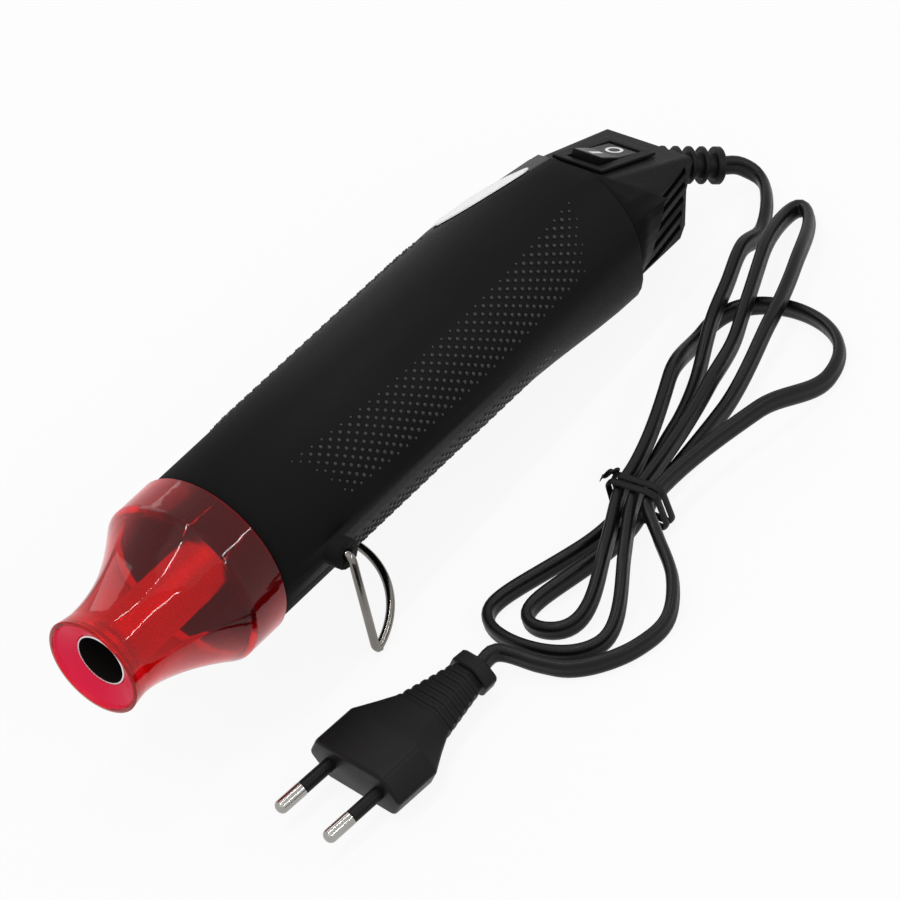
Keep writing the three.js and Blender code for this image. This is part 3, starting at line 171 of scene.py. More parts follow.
def piece_from(name, parts, material, body, replaced=(), sharp=SHARP):
    """A piece made of one or more skins."""
    points = []
    faces = []
    for part_points, part_faces in parts:
        start = len(points)
        points.extend(part_points)
        faces.extend(tuple(start + i for i in face) for face in part_faces)
    mesh = bpy.data.meshes.new(name)
    mesh.from_pydata(points, [], faces)
    finish_mesh(mesh, sharp)
    mesh.materials.append(material)
    return place_piece(name, mesh, body, replaced)


print(f"edges over {round(SHARP * 180 / pi)} degrees stay sharp, or over {round(ROUND_SHARP * 180 / pi)}"
      " on round sections")


# %% Sums
def smooth(t):
    """Eases from 0 to 1."""
    t = min(max(t, 0), 1)
    return t * t * (3 - 2 * t)


def mix(a, b, t):
    """The value at a share t of the way from a to b."""
    return a + (b - a) * t


def circle(count):
    """Cosine and sine of even steps round a circle."""
    angles = [2 * pi * i / count for i in range(count)]
    return [(cos(angle), sin(angle)) for angle in angles]


print("eased at a quarter and at half way:", smooth(0.25), smooth(0.5))

# %% [markdown]
# ## Finishes
# Each finish starts from what the real material is. Colours are written as sRGB hex values, and patterns
# are given in millimetres. A moulded or metal surface has three things: patches of slightly different tone,
# roughness that changes a little from place to place, and a grain that catches the light. Pictures could be
# wrapped round the pieces instead, but noise made by nodes needs no file and stays sharp from close by.

# %% Node helpers
def linear(hex_colour):
    """An sRGB hex colour as linear RGBA."""
    channels = [int(hex_colour[i : i + 2], 16) / 255 for i in (1, 3, 5)]
    return (*[c / 12.92 if c <= 0.04045 else ((c + 0.055) / 1.055) ** 2.4 for c in channels], 1)


def per_mm(size):
    """The scale of a pattern on Object coordinates whose features are this many mm apart."""
    return 1 / (size * MM)


def add(tree, kind, inputs=None, **settings):
    """Adds a node with its settings, and sets or links its inputs."""
    made = tree.nodes.new(kind)
    for name, value in settings.items():
        setattr(made, name, value)
    for socket, value in (inputs or {}).items():
        if isinstance(value, bpy.types.NodeSocket):
            tree.links.new(value, made.inputs[socket])
        else:
            made.inputs[socket].default_value = value
    return made


def blank_material(name):
    """A material with an empty tree, and its Object coordinates."""
    material = bpy.data.materials.new(name)
    material.use_nodes = True
    tree = material.node_tree
    tree.nodes.clear()
    return material, tree, add(tree, "ShaderNodeTexCoord").outputs["Object"]


print("mid grey in linear light:", round(linear("#808080")[0], 3))


# %% Surface with tones, gloss and grain
def surface(name, dark, pale, patch, rough, grain, depth, stretch=(1, 1, 1), edge=0.0, **sockets):
    """A finish of two near tones in patches, with a range of roughness and a grain of some depth, in mm.

    Stretch draws the grain out along an axis, as brushing does. Edge rounds the light on sharp edges.
    """
    material, tree, place = blank_material(name)
    tones = add(tree, "ShaderNodeTexNoise", {"Vector": place, "Scale": per_mm(patch), "Detail": 4})
    tone = add(tree, "ShaderNodeMix", {0: tones.outputs["Fac"], 6: linear(dark), 7: linear(pale)},
               data_type="RGBA")
    along = add(tree, "ShaderNodeMapping", {"Vector": place, "Scale": stretch})
    grit = add(tree, "ShaderNodeTexNoise",
               {"Vector": along.outputs[0], "Scale": per_mm(grain), "Detail": 3, "Roughness": 0.6})
    sheen = add(tree, "ShaderNodeMapRange",
                {"Value": grit.outputs["Fac"], "From Min": 0.3, "From Max": 0.7,
                 "To Min": rough[0], "To Max": rough[1]})
    bump = add(tree, "ShaderNodeBump",
               {"Height": grit.outputs["Fac"], "Strength": 1.0, "Distance": depth * MM})
    if edge:
        rounded = add(tree, "ShaderNodeBevel", {"Radius": edge * MM}, samples=4)
        tree.links.new(rounded.outputs[0], bump.inputs["Normal"])
    shader = add(tree, "ShaderNodeBsdfPrincipled",
                 {"Base Color": tone.outputs[2], "Roughness": sheen.outputs[0], "Normal": bump.outputs[0]})
    for socket, value in sockets.items():
        shader.inputs[socket.replace("_", " ")].default_value = value
    add(tree, "ShaderNodeOutputMaterial", {"Surface": shader.outputs[0]})
    return material


# %% [markdown]
# ## Plastics
# The body is hard ABS, and the gland, lead and plug are soft PVC. All are near black, so what tells them
# apart is how they shine. One black could dress them all, but then the tool would look cast in one piece,
# so each has its own roughness and grain. The real grit is too fine to show, so it is drawn coarser.

# %% Plastics
# ABS from a spark-eroded mould: matte, with a fine grit that spreads the highlights.
matte_abs = surface("matte_moulded_abs", "#0c0c0d", "#121213", 18, (0.44, 0.58), 0.5, 0.012, edge=0.4,
                    IOR=1.5, Specular_IOR_Level=0.08)
# The same ABS on the grip's dots, polished by hands.
worn_abs = surface("worn_moulded_abs", "#161617", "#1f1f20", 12, (0.3, 0.42), 0.5, 0.006,
                   IOR=1.5, Specular_IOR_Level=0.4)
# Polished ABS, as on a rocker: smooth, with faint rub marks.
gloss_abs = surface("polished_abs", "#0c0c0d", "#121214", 7, (0.24, 0.36), 1.1, 0.004, edge=0.3,
                    IOR=1.5, Specular_IOR_Level=0.1)
# Soft PVC of the gland: a dull skin from the mould.
gland_pvc = surface("soft_moulded_pvc", "#0c0c0d", "#121213", 6, (0.42, 0.58), 0.7, 0.01, edge=0.25,
                    IOR=1.53, Specular_IOR_Level=0.14)
# Extruded PVC jacket of the lead: smooth and waxy, with soft waves from the die.
cord_pvc = surface("extruded_pvc_jacket", "#0b0b0c", "#121213", 9, (0.3, 0.42), 1.6, 0.02,
                   IOR=1.53, Specular_IOR_Level=0.18)
# PVC moulded over the plug: satin.
plug_pvc = surface("moulded_plug_pvc", "#0c0c0d", "#121213", 8, (0.36, 0.5), 0.6, 0.01, edge=0.3,
                   IOR=1.53, Specular_IOR_Level=0.13)
# Nylon of the fan and the motor's mount: milky and slightly waxy.
white_nylon = surface("moulded_nylon", "#dcdad2", "#eae8e2", 9, (0.4, 0.55), 0.8, 0.01, IOR=1.53)
# White ink on the rocker: pad printed, faintly uneven.
white_ink = surface("pad_printed_ink", "#dedede", "#f2f2f2", 0.8, (0.45, 0.6), 0.3, 0.004)
plastics = (matte_abs, worn_abs, gloss_abs, gland_pvc, cord_pvc, plug_pvc, white_nylon, white_ink)
print("plastics:", [finish.name for finish in plastics])

# %% [markdown]
# ## Metals and inner pieces
# The wire, the pins and the outlet are bright metal. Inside are drawn steel, brass, mica and a circuit
# board. A metal shows mostly what it reflects, so its roughness counts for more than its colour. An even
# grey would do from afar, but a little unevenness breaks the reflections up, as it does on real metal.

# %% Metals and inner pieces
# Nickel plate over the pins, screws and fuse: bright, and faintly uneven. Its colour is darker than
# nickel's: painted shade in place of the dark reflections that the white room doesn't give.
nickel = surface("nickel_with_painted_shade", "#94928e", "#aeaca8", 5, (0.1, 0.2), 0.5, 0.002, Metallic=1.0)
# The stand's wire is nickel plate, rubbed dull in places. Its colour is greyer than nickel's: painted
# shade in place of the dark reflections that the white room doesn't give.
wire_nickel = surface("nickel_wire_with_painted_shade", "#6b6864", "#85827d", 4, (0.12, 0.24), 0.5, 0.003, Metallic=1.0)
# Stainless outlet tube, polished at its rim: the brightest metal on the tool.
outlet_steel = surface("polished_stainless", "#e2e2e4", "#f2f2f4", 6, (0.22, 0.36), 0.4, 0.002, Metallic=1.0)
# The tube's inside: dark and dull, with hardly any reflection.
dark_bore = surface("dark_bore_steel", "#0c0b0b", "#1c1816", 3, (0.5, 0.75), 0.4, 0.01, Metallic=0.6)
# Drawn steel of the motor's can and shaft: lines along the draw, which spread the light across them.
drawn_steel = surface("drawn_steel", "#8f9194", "#a9abad", 8, (0.25, 0.4), 0.5, 0.004, (0.1, 1, 1),
                      Metallic=1.0)
# Turned brass of the motor's bush: warm and fairly bright.
turned_brass = surface("turned_brass", "#a98544", "#bd9a55", 3, (0.22, 0.36), 0.3, 0.003, Metallic=1.0)
# Resistance wire, dull with oxide.
oxide_wire = surface("oxidised_resistance_wire", "#4a423b", "#6e645a", 2, (0.45, 0.65), 0.3, 0.006,
                     Metallic=0.8)
# Phenolic of the element's holder: brown and dull.
phenolic = surface("moulded_phenolic", "#33241a", "#443126", 5, (0.5, 0.65), 0.5, 0.01)
# Mica round the element: pale flakes with a soft shine.
mica = surface("mica_sheet", "#a89672", "#c9bb98", 3, (0.35, 0.6), 0.9, 0.01)
# Glass epoxy board under a smooth green lacquer.
board = surface("lacquered_glass_epoxy", "#1c5630", "#266b3d", 4, (0.2, 0.35), 0.9, 0.006)
metals = (nickel, wire_nickel, outlet_steel, dark_bore, drawn_steel, turned_brass, oxide_wire)
print("metals:", [finish.name for finish in metals])
print("other inner finishes:", [finish.name for finish in (phenolic, mica, board)])

# %% [markdown]
# ## The lead
# A flat two-core lead leaves the gland, runs down to the surface, and is folded into a hank of four loops
# that a tie draws in at a waist. It lies on its edge, with its wide side upright. A curve with a bevel
# would turn the flat section as it liked, so the section is swept ring by ring with its wide side kept up.
# The route repeats the one that the solids follow.

# %% Layers of the hank, in mm
CLEARANCE = 0.3
CORD_THICK = 3.4
CORD_WIDE = 5.6
FLOOR_GAP = 0.05
TIE_THICKNESS = 1

rest_layer = CORD_WIDE / 2 + FLOOR_GAP
layer_pitch = CORD_WIDE + 2 * CLEARANCE
low_layer = rest_layer + TIE_THICKNESS + 2 * CLEARANCE
waist_layer = (low_layer, low_layer + layer_pitch)
print(f"the lead's middle lies {rest_layer:.2f} mm up, and at the waist", [round(z, 2) for z in waist_layer])

# %% [markdown]
# ## The loops of the hank
# Each loop leaves the waist, swings out and comes back. The loops could be drawn point by point, but a sine
# gives each its round end, so a few lengths describe it: how far it reaches, how wide it spreads, how it
# leans and bows, its slot and layer at the waist when it leaves and returns, how far it holds that layer,
# and where it climbs over the lead's other run, if it does.

# %% Loops of the hank
WAIST_X = 10.5
WAIST_Y = -67
WAIST_FALL = 24
LOBE_ROUNDNESS = 0.62
LOBE_STEPS = 240
SLOT_FADE = 0.3
HUMP_HOLD = 10
HUMP_FALL = 30

LOBES = [
    dict(reach=-53, spread=33, lean=0, bow=-4.5, slots=(5, 0.2), layers=(0, 1), hold=20, hump=inf),
    dict(reach=112, spread=11, lean=14.5, bow=-7, slots=(0.2, 0), layers=(1, 0), hold=39, hump=78),
    dict(reach=-46, spread=18, lean=1, bow=-4, slots=(0, 5.2), layers=(0, 1), hold=20, hump=inf),
    dict(reach=79, spread=37, lean=4.5, bow=0, slots=(5.2, -4.8), layers=(1, 1), hold=38, hump=inf),
]


def in_hank(along, across, z):
    """A point beside the hank's waist, in mm."""
    return Vector((WAIST_X + along, WAIST_Y + across, z))


def lobe_points(reach, spread, lean, bow, slots, layers, hold, hump):
    """One loop of the hank, out from the waist on its far side and back on its near side."""
    slant = (1 if reach > 0 else -1) * tan(radians(lean))
    points = []
    for i in range(LOBE_STEPS + 1):
        s = i / LOBE_STEPS
        out = max(sin(pi * s), 0) ** LOBE_ROUNDNESS
        slot = mix(slots[0], slots[1], smooth(s)) * (1 - SLOT_FADE * out)
        along = reach * out
        middle = abs(along) * slant + bow * sin(pi * out)
        across = spread / 2 * sin(2 * pi * s) + slot + middle
        layer = waist_layer[layers[0 if s < 0.5 else 1]]
        fall = smooth((abs(along) - hold) / WAIST_FALL)
        rise = layer_pitch * (1 - smooth((abs(along - hump) - HUMP_HOLD) / HUMP_FALL))
        points.append(in_hank(along, across, mix(layer, rest_layer, fall) + rise))
    return points


print("loops reach, in mm:", [lobe["reach"] for lobe in LOBES])

# %% [markdown]
# ## Curves through points
# Between the loops and the two ends, the lead follows listed points. A curve object could join them,
# but its points are unevenly spaced. These two helpers draw the curve and then walk it in even steps, so
# that the section's rings are as far apart on the straight as in a bend.

# %% Curves through points
CURVE_STEPS = 20


def curve_through(points):
    """A smooth curve through points, with each bend eased by the root of the steps beside it."""
    ends = [2 * points[0] - points[1], *points, 2 * points[-1] - points[-2]]
    line = []
    total = len(points) * CURVE_STEPS
    for n in range(total + 1):
        where = n / total * (len(points) - 1)
        i = min(int(where), len(points) - 2)
        t = where - i
        p0, p1, p2, p3 = ends[i : i + 4]
        d0, d1, d2 = [(b - a).length ** 0.5 for a, b in ((p0, p1), (p1, p2), (p2, p3))]
        leave = ((p1 - p0) / d0 - (p2 - p0) / (d0 + d1) + (p2 - p1) / d1) * d1
        reach = ((p2 - p1) / d1 - (p3 - p1) / (d1 + d2) + (p3 - p2) / d2) * d1
        line.append(p1 + leave * t + (3 * (p2 - p1) - 2 * leave - reach) * t**2
                    + (2 * (p1 - p2) + leave + reach) * t**3)
    return line


def evenly(points, step):
    """Even steps along a dense line of points."""
    lengths = [0]
    for before, after in zip(points, points[1:]):
        lengths.append(lengths[-1] + (after - before).length)
    count = max(2, round(lengths[-1] / step))
    out = []
    k = 1
    for i in range(count + 1):
        want = lengths[-1] * i / count
        while k < len(lengths) - 1 and lengths[k] < want:
            k += 1
        span = lengths[k] - lengths[k - 1]
        out.append(points[k - 1].lerp(points[k], (want - lengths[k - 1]) / span if span else 0))
    return out


print("steps on each stretch of a curve:", CURVE_STEPS)

# %% [markdown]
# ## The ends of the lead
# The lead starts a clearance behind the gland, whose root and direction lie on the tool, and ends the same
# way behind the plug, which has its own place and heading on the surface.

# %% Ends of the lead
TAIL_END = 235.5
BACK_TOP = 1.4
BACK_KNEE_SETBACK = 6.5
BACK_KNEE_DROP = 6.4
GLAND_DROP = 4.5
GLAND_TILT = radians(24)
GLAND_YAW = radians(33)
GLAND_LENGTH = 23
PLUG_PLACE = (-101.4, -57, 7)
PLUG_HEADING = radians(172)
PLUG_LENGTH = 46

back_lean = BACK_KNEE_SETBACK * GLAND_DROP / BACK_KNEE_DROP
gland_root = Vector((TAIL_END - back_lean, 0, BACK_TOP - GLAND_DROP))
gland_along = Vector((
    cos(GLAND_TILT) * cos(GLAND_YAW),
    -cos(GLAND_TILT) * sin(GLAND_YAW),
    -sin(GLAND_TILT),
))
gland_end = at(*(gland_root + gland_along * (GLAND_LENGTH + CLEARANCE))) / MM
gland_out = tool_turn.to_3x3() @ gland_along
plug_along = Vector((cos(PLUG_HEADING), sin(PLUG_HEADING), 0))
plug_tail = Vector(PLUG_PLACE) - plug_along * (PLUG_LENGTH + CLEARANCE)
print("lead from", [round(c) for c in gland_end], "to", [round(c) for c in plug_tail], "in mm")

# %% Route of the lead, in mm
WAIST_HOLD = 22
CORD_STEP = 1.5

lead_points = [
    gland_end,
    gland_end + gland_out * CORD_WIDE,
    Vector((128.1, -19, rest_layer)),
    Vector((121.6, -26, rest_layer)),
    Vector((110.5, -32, rest_layer)),
    in_hank(88, 31, rest_layer + layer_pitch),
    in_hank(75, 26.3, rest_layer + layer_pitch),
    in_hank(61, 21.3, rest_layer + layer_pitch),
    in_hank(45, 16, rest_layer + 1),
    in_hank(33, 12, waist_layer[0] - 1),
    in_hank(WAIST_HOLD, 9, waist_layer[0]),
    in_hank(WAIST_HOLD / 2, 6.6, waist_layer[0]),
    in_hank(0, 5, waist_layer[0]),
]
tail_points = [
    in_hank(0, -4.8, waist_layer[1]),
    in_hank(-CORD_THICK, -6, waist_layer[1]),
    in_hank(-WAIST_HOLD / 2, -15, waist_layer[1]),
    in_hank(-19.4, -25, waist_layer[1] - 4),
    in_hank(-29.4, -29.5, rest_layer),
    in_hank(-40.4, -28, rest_layer),
    in_hank(-49.4, -22, rest_layer),
    in_hank(-54.4, -15, rest_layer),
    in_hank(-56.8, -8, rest_layer + 1),
    plug_tail - plug_along * CORD_WIDE,
    plug_tail,
]
route = curve_through(lead_points)
for lobe in LOBES:
    route += lobe_points(**lobe)[1:]
route += curve_through(tail_points)[1:]
route = evenly(route, CORD_STEP)

# %% [markdown]
# ## The flat section
# One jacket holds two round cores side by side, with a shallow groove between them. A plain oval would lose
# the groove, and two round tubes would lose the jacket, so the section is a squarish oval that is pinched
# in the middle.

# %% Sweep the flat section
SECTION_POINTS = 24
SECTION_SQUARENESS = 0.72
GROOVE_DEPTH = 0.16
GROOVE_WIDTH = 0.55


def flat_section():
    """Points of the two-core section, as [side, up] in mm, with a groove between the cores."""
    points = []
    for across, rise in circle(SECTION_POINTS):
        up = CORD_WIDE / 2 * rise
        round_side = abs(across) ** SECTION_SQUARENESS * (1 if across > 0 else -1)
        groove = 1 - GROOVE_DEPTH * exp(-((up / GROOVE_WIDTH) ** 2))
        points.append((CORD_THICK / 2 * round_side * groove, up))
    return points


def sweep(line, section):
    """Rings of a section along a line, both in mm, with the section's up kept upright."""
    rings = []
    for i, point in enumerate(line):
        ahead = (line[min(i + 1, len(line) - 1)] - line[max(i - 1, 0)]).normalized()
        side = ahead.cross(Vector((0, 0, 1))).normalized()
        up = side.cross(ahead)
        rings.append([(point + side * s + up * u) * MM for s, u in section])
    return rings


flex = piece_from("mains_lead", [skin(sweep(route, flat_section()))], cord_pvc, "tool",
                  ["cord_lead", "cord_hank", "cord_tail"], ROUND_SHARP)
print("lead faces:", len(flex.data.polygons))

# %% [markdown]
# ## The plug
# A flat two-pin plug, moulded in one with its strain relief: a hexagonal block, a shoulder, a neck cut by
# ribs, and a collar where the lead comes out. Blocks joined by Booleans would have hard seams. Sections with
# rounded corners, skinned along its length, give it the soft edges of a moulding.

# %% Sections of the plug
PLUG_WIDTH = 35
PLUG_HEIGHT = 14
PLUG_BEVEL = 4.9
PLUG_CORNER = 1.1
CORNER_POINTS = 5

on_plug = (Matrix.Translation(Vector(PLUG_PLACE) * MM) @ Matrix.Rotation(PLUG_HEADING, 4, "Z")
           @ Matrix.Scale(MM, 4))


def plug_section(x, width, height):
    """A hexagon across the plug, with its corners rounded, at x behind the face."""
    side = width / 2
    flat = side - PLUG_BEVEL * height / PLUG_HEIGHT
    half = height / 2
    corners = [(side, 0), (flat, half), (-flat, half), (-side, 0), (-flat, -half), (flat, -half)]
    corners = [Vector(c) for c in corners]
    points = []
    for i, here in enumerate(corners):
        before = here + (corners[i - 1] - here).normalized() * PLUG_CORNER
        after = here + (corners[(i + 1) % len(corners)] - here).normalized() * PLUG_CORNER
        for k in range(CORNER_POINTS):
            t = k / (CORNER_POINTS - 1)
            y, z = before.lerp(here, t).lerp(here.lerp(after, t), t)
            points.append(on_plug @ Vector((-x, y, z)))
    return points


print("points on a section:", len(plug_section(0, PLUG_WIDTH, PLUG_HEIGHT)))

# %% Plug body
PLUG_BLOCK_LENGTH = 14
PLUG_SHOULDER_LENGTH = 19.5
PLUG_SHOULDER_WIDTH = 27
PLUG_SHOULDER_HEIGHT = 13
NECK_START = 24
NECK_WIDTH = 21.5
NECK_HEIGHT = 11.8
NECK_END_WIDTH = 12.5
NECK_END_HEIGHT = 9
NECK_RIBS = 7
RIB_DEPTH = 0.4
PLUG_COLLAR = 4.4
PLUG_COLLAR_WIDTH = 15
PLUG_COLLAR_HEIGHT = 10.5
FACE_ROUNDING = 1.2
FACE_ROUNDING_STEPS = 4
# Steps past the block's end, with what the width and the height lose there.
BLOCK_REAR = ((-0.6, 0, 0), (0, 0.5, 0), (0.6, 1.4, 0.1))
# Shares of a rib's pitch, with how deep the cut is there, in rib depths.
RIB_CUT = ((0.3, 0), (0.4, 0.5), (0.46, 2), (0.86, 2), (0.93, 0.5))
# Steps along the collar, with what it loses across there.
COLLAR_SHAPE = ((0, 0.6), (0.4, 0), (PLUG_COLLAR - 0.5, 0.3), (PLUG_COLLAR, 1.2))


def plug_rings():
    """Sections from the face to the collar."""
    rings = []
    for k in range(FACE_ROUNDING_STEPS + 1):
        turn = pi / 2 * k / FACE_ROUNDING_STEPS
        inset = 2 * FACE_ROUNDING * (1 - sin(turn))
        x = FACE_ROUNDING * (1 - cos(turn))
        rings.append(plug_section(x, PLUG_WIDTH - inset, PLUG_HEIGHT - inset))
    for step, narrower, lower in BLOCK_REAR:
        rings.append(plug_section(PLUG_BLOCK_LENGTH + step, PLUG_WIDTH - narrower, PLUG_HEIGHT - lower))
    rings.append(plug_section(PLUG_SHOULDER_LENGTH, PLUG_SHOULDER_WIDTH, PLUG_SHOULDER_HEIGHT))
    rings.append(plug_section(NECK_START, NECK_WIDTH, NECK_HEIGHT))
    collar_front = PLUG_LENGTH - PLUG_COLLAR
    pitch = (collar_front - NECK_START) / NECK_RIBS
    for i in range(NECK_RIBS):
        for share, depth in RIB_CUT:
            loss = depth * RIB_DEPTH
            along = (i + share) / NECK_RIBS
            rings.append(plug_section(NECK_START + (i + share) * pitch,
                                      mix(NECK_WIDTH, NECK_END_WIDTH, along) - loss,
                                      mix(NECK_HEIGHT, NECK_END_HEIGHT, along) - loss))
    for back, loss in COLLAR_SHAPE:
        rings.append(plug_section(collar_front + back, PLUG_COLLAR_WIDTH - loss, PLUG_COLLAR_HEIGHT - loss))
    return rings


plug = piece_from("plug_moulding", [skin(plug_rings())], plug_pvc, "tool", ["plug_body"])
print("plug faces:", len(plug.data.polygons))

# %% [markdown]
# ## The pins
# Two nickel-plated round pins, each in a black sleeve near the plug, with a rounded nose. A cylinder with a
# bevel could do for each, but one profile turned round the axis gives the nose, the step at the sleeve and
# the small edges together.

# %% Turned pieces
ROUND = 40


def turned(profile, place):
    """A skin of [along, radius] points, in mm, turned round the X axis and put in place."""
    rings = []
    for along, radius in profile:
        rings.append([place @ Vector((along, radius * s, radius * c)) for c, s in circle(ROUND)])
    return skin(rings)


print("sides on a turned piece:", ROUND)

# %% Pins
PIN_SPACING = 18.6
PIN_RADIUS = 2
PIN_LENGTH = 19
PIN_CORE = 1.5
PIN_SUNK = 1
PIN_NOSE = 1.7
PIN_NOSE_STEPS = 8
PIN_EDGE = 0.15
PIN_EDGE_LENGTH = 0.2
SLEEVE_LENGTH = 10
SLEEVE_RADIUS = 1.9
SLEEVE_BORE = 1.55
SLEEVE_GAP = 0.1
SLEEVE_EDGE = 0.12
SLEEVE_EDGE_START = 0.4

nose_turns = [pi / 2 * k / PIN_NOSE_STEPS for k in range(PIN_NOSE_STEPS + 1)]
nose = [(PIN_LENGTH - PIN_NOSE * (1 - sin(a)), PIN_RADIUS - PIN_NOSE * (1 - cos(a))) for a in nose_turns]
pin_profile = [
    (-PIN_SUNK, PIN_CORE),
    (SLEEVE_LENGTH - SLEEVE_GAP, PIN_CORE),
    (SLEEVE_LENGTH, PIN_RADIUS - PIN_EDGE),
    (SLEEVE_LENGTH + PIN_EDGE_LENGTH, PIN_RADIUS),
    *nose,
]
sleeve_profile = [
    (-PIN_SUNK, SLEEVE_RADIUS),
    (SLEEVE_LENGTH - SLEEVE_EDGE_START, SLEEVE_RADIUS),
    (SLEEVE_LENGTH - SLEEVE_GAP, SLEEVE_RADIUS - SLEEVE_EDGE),
    (SLEEVE_LENGTH - SLEEVE_GAP, SLEEVE_BORE),
]
plug_pieces = [plug]
for side, y in (("left", PIN_SPACING / 2), ("right", -PIN_SPACING / 2)):
    shift = on_plug @ Matrix.Translation((0, y, 0))
    pin = piece_from(f"pin_{side}", [turned(pin_profile, shift)], nickel, "tool",
                     [f"plug_pin_{side}"])
    sleeve = piece_from(f"sleeve_{side}", [turned(sleeve_profile, shift)], plug_pvc, "tool",
                        [f"pin_sleeve_{side}"])
    plug_pieces += [pin, sleeve]
print("plug pieces:", [p.name for p in plug_pieces])

# %% [markdown]
# ## The tie
# A twist tie holds the hank's waist: a flat black strip with a wire in it, wound twice round the lead, its
# two ends twisted together. A curve with a bevel would roll the strip over, so its sections are laid one by
# one round a rounded box that clears the lead.

# %% Band of the tie
TIE_WIDTH = 2.2
TIE_CORNER = 2.5
TIE_TURNS = 2
TIE_PITCH = 2.5
TIE_STEPS = 72
TIE_SIDES = 10
TIE_FILL = 0.9
OUTER_SLOT = 5.2

half_band = OUTER_SLOT + CORD_THICK / 2 + 2 * CLEARANCE + TIE_THICKNESS / 2
band_low = FLOOR_GAP + TIE_THICKNESS / 2
band_high = waist_layer[1] + CORD_WIDE / 2 + CLEARANCE + TIE_THICKNESS / 2


def band_point(turn):
    """A point and an outward direction, across and up, on the rounded band, at a share of a turn."""
    width = 2 * (half_band - TIE_CORNER)
    height = band_high - band_low - 2 * TIE_CORNER
    arc = pi / 2 * TIE_CORNER
    left = turn % 1 * (2 * width + 2 * height + 4 * arc)
    corners = [(width / 2, height / 2, 0, height), (-width / 2, height / 2, pi / 2, width),
               (-width / 2, -height / 2, pi, height), (width / 2, -height / 2, 1.5 * pi, width)]
    middle = (band_low + band_high) / 2
    for y, z, start, run in corners:
        along = Vector((-sin(start), cos(start)))
        out = Vector((cos(start), sin(start)))
        if left <= run:
            return Vector((y, z + middle)) + out * TIE_CORNER - along * (run - left), out
        left -= run
        if left <= arc:
            out = Vector((cos(start + left / TIE_CORNER), sin(start + left / TIE_CORNER)))
            return Vector((y, z + middle)) + out * TIE_CORNER, out
        left -= arc
    return Vector((width / 2 + TIE_CORNER, middle - height / 2)), Vector((1, 0))


def tie_rings():
    """Sections of the strip round the waist."""
    rings = []
    steps = TIE_STEPS * TIE_TURNS
    for i in range(steps + 1):
        share = i / steps
        place, out = band_point(share * TIE_TURNS)
        shift = TIE_PITCH * TIE_TURNS * (share - 0.5)
        ring = []
        for c, s in circle(TIE_SIDES):
            y, z = place + out * (TIE_THICKNESS / 2 * TIE_FILL * s)
            ring.append(in_hank(shift + TIE_WIDTH / 2 * c, y, z) * MM)
        rings.append(ring)
    return rings


print(f"the tie's band is {2 * half_band:.1f} mm wide and {band_high - band_low:.1f} mm high")

# %% Twisted ends of the tie
TWIST_LENGTH = 4.5
TWIST_RADIUS = 0.62
TWISTS = 1
TWIST_STEPS = 60
TWIST_DROOP = 4.5
TWIST_WAY = (-0.25, 0.75, 0.28)
TWIST_ALONG = 1
TWIST_INSET = 2
TWIST_LIFT = 0.4
STRAND_RADIUS = 0.62
STRAND_SIDES = 8


def twisted_ends():
    """Two thin ends wound round each other, standing off the waist towards the far side."""
    start = in_hank(TWIST_ALONG, half_band - TWIST_INSET, band_high + TWIST_LIFT)
    ahead = Vector(TWIST_WAY).normalized()
    side = ahead.cross(Vector((0, 0, 1))).normalized()
    up = side.cross(ahead)
    skins = []
    for phase in (0, pi):
        rings = []
        for i in range(TWIST_STEPS + 1):
            share = i / TWIST_STEPS
            angle = 2 * pi * TWISTS * share + phase
            bend = up * (-TWIST_DROOP * share**2)
            middle = start + ahead * (TWIST_LENGTH * share) + bend
            middle = middle + (side * cos(angle) + up * sin(angle)) * TWIST_RADIUS
            ways = [side * c + up * s for c, s in circle(STRAND_SIDES)]
            rings.append([(middle + way * STRAND_RADIUS) * MM for way in ways])
        skins.append(skin(rings))
    return skins


tie = piece_from("twist_tie", [skin(tie_rings()), *twisted_ends()], gland_pvc, "tool",
                 ["cord_tie"], ROUND_SHARP)
print("tie faces:", len(tie.data.polygons))

# %% [markdown]
# ## The nozzle guard
# Clear red polycarbonate, injection moulded and polished, so that the black spigot shows through its
# collar. Six scalloped flutes run up the flare and fade out under the collar. A single surface that lets
# light through would do from afar, but light that is refracted needs a wall with two sides. So the skin goes
# round the outside, the rear edge, the inside and the dished front, and closes on itself.

# %% Red polycarbonate
FLOW_SIZE = 9
FLOW_DEPTH = 0.12


def red_guard(name, dark, pale, rough, clear, gleam):
    """Tinted and glossy, with faint flow lines from the mould.

    Clear is the share of light that the wall lets through, and gleam is how bright its reflections are.
    """
    material, tree, place = blank_material(name)
    flow = add(tree, "ShaderNodeTexNoise", {"Vector": place, "Scale": per_mm(FLOW_SIZE), "Detail": 2})
    tone = add(tree, "ShaderNodeMix",
               {0: flow.outputs["Fac"], 6: linear(dark), 7: linear(pale)}, data_type="RGBA")
    gloss = add(tree, "ShaderNodeMapRange",
                {"Value": flow.outputs["Fac"], "To Min": rough[0], "To Max": rough[1]})
    waves = add(tree, "ShaderNodeBump",
                {"Height": flow.outputs["Fac"], "Strength": 1.0, "Distance": FLOW_DEPTH * MM})
    # Seen edge on, the wall is long to look through, so its tint takes over from the reflections.
    facing = add(tree, "ShaderNodeLayerWeight", {"Blend": 0.5, "Normal": waves.outputs[0]})
    through = add(tree, "ShaderNodeMapRange", {"Value": facing.outputs["Facing"], "From Min": 0.3,
                                               "From Max": 0.8, "To Min": clear, "To Max": clear * 0.5})
    shader = add(tree, "ShaderNodeBsdfPrincipled", {
        "Base Color": tone.outputs[2], "Roughness": gloss.outputs[0], "Normal": waves.outputs[0],
        "IOR": 1.58, "Transmission Weight": through.outputs[0], "Specular Tint": (gleam, gleam, gleam, 1),
        "Specular IOR Level": 0.2,
    })
    add(tree, "ShaderNodeOutputMaterial", {"Surface": shader.outputs[0]})
    return material


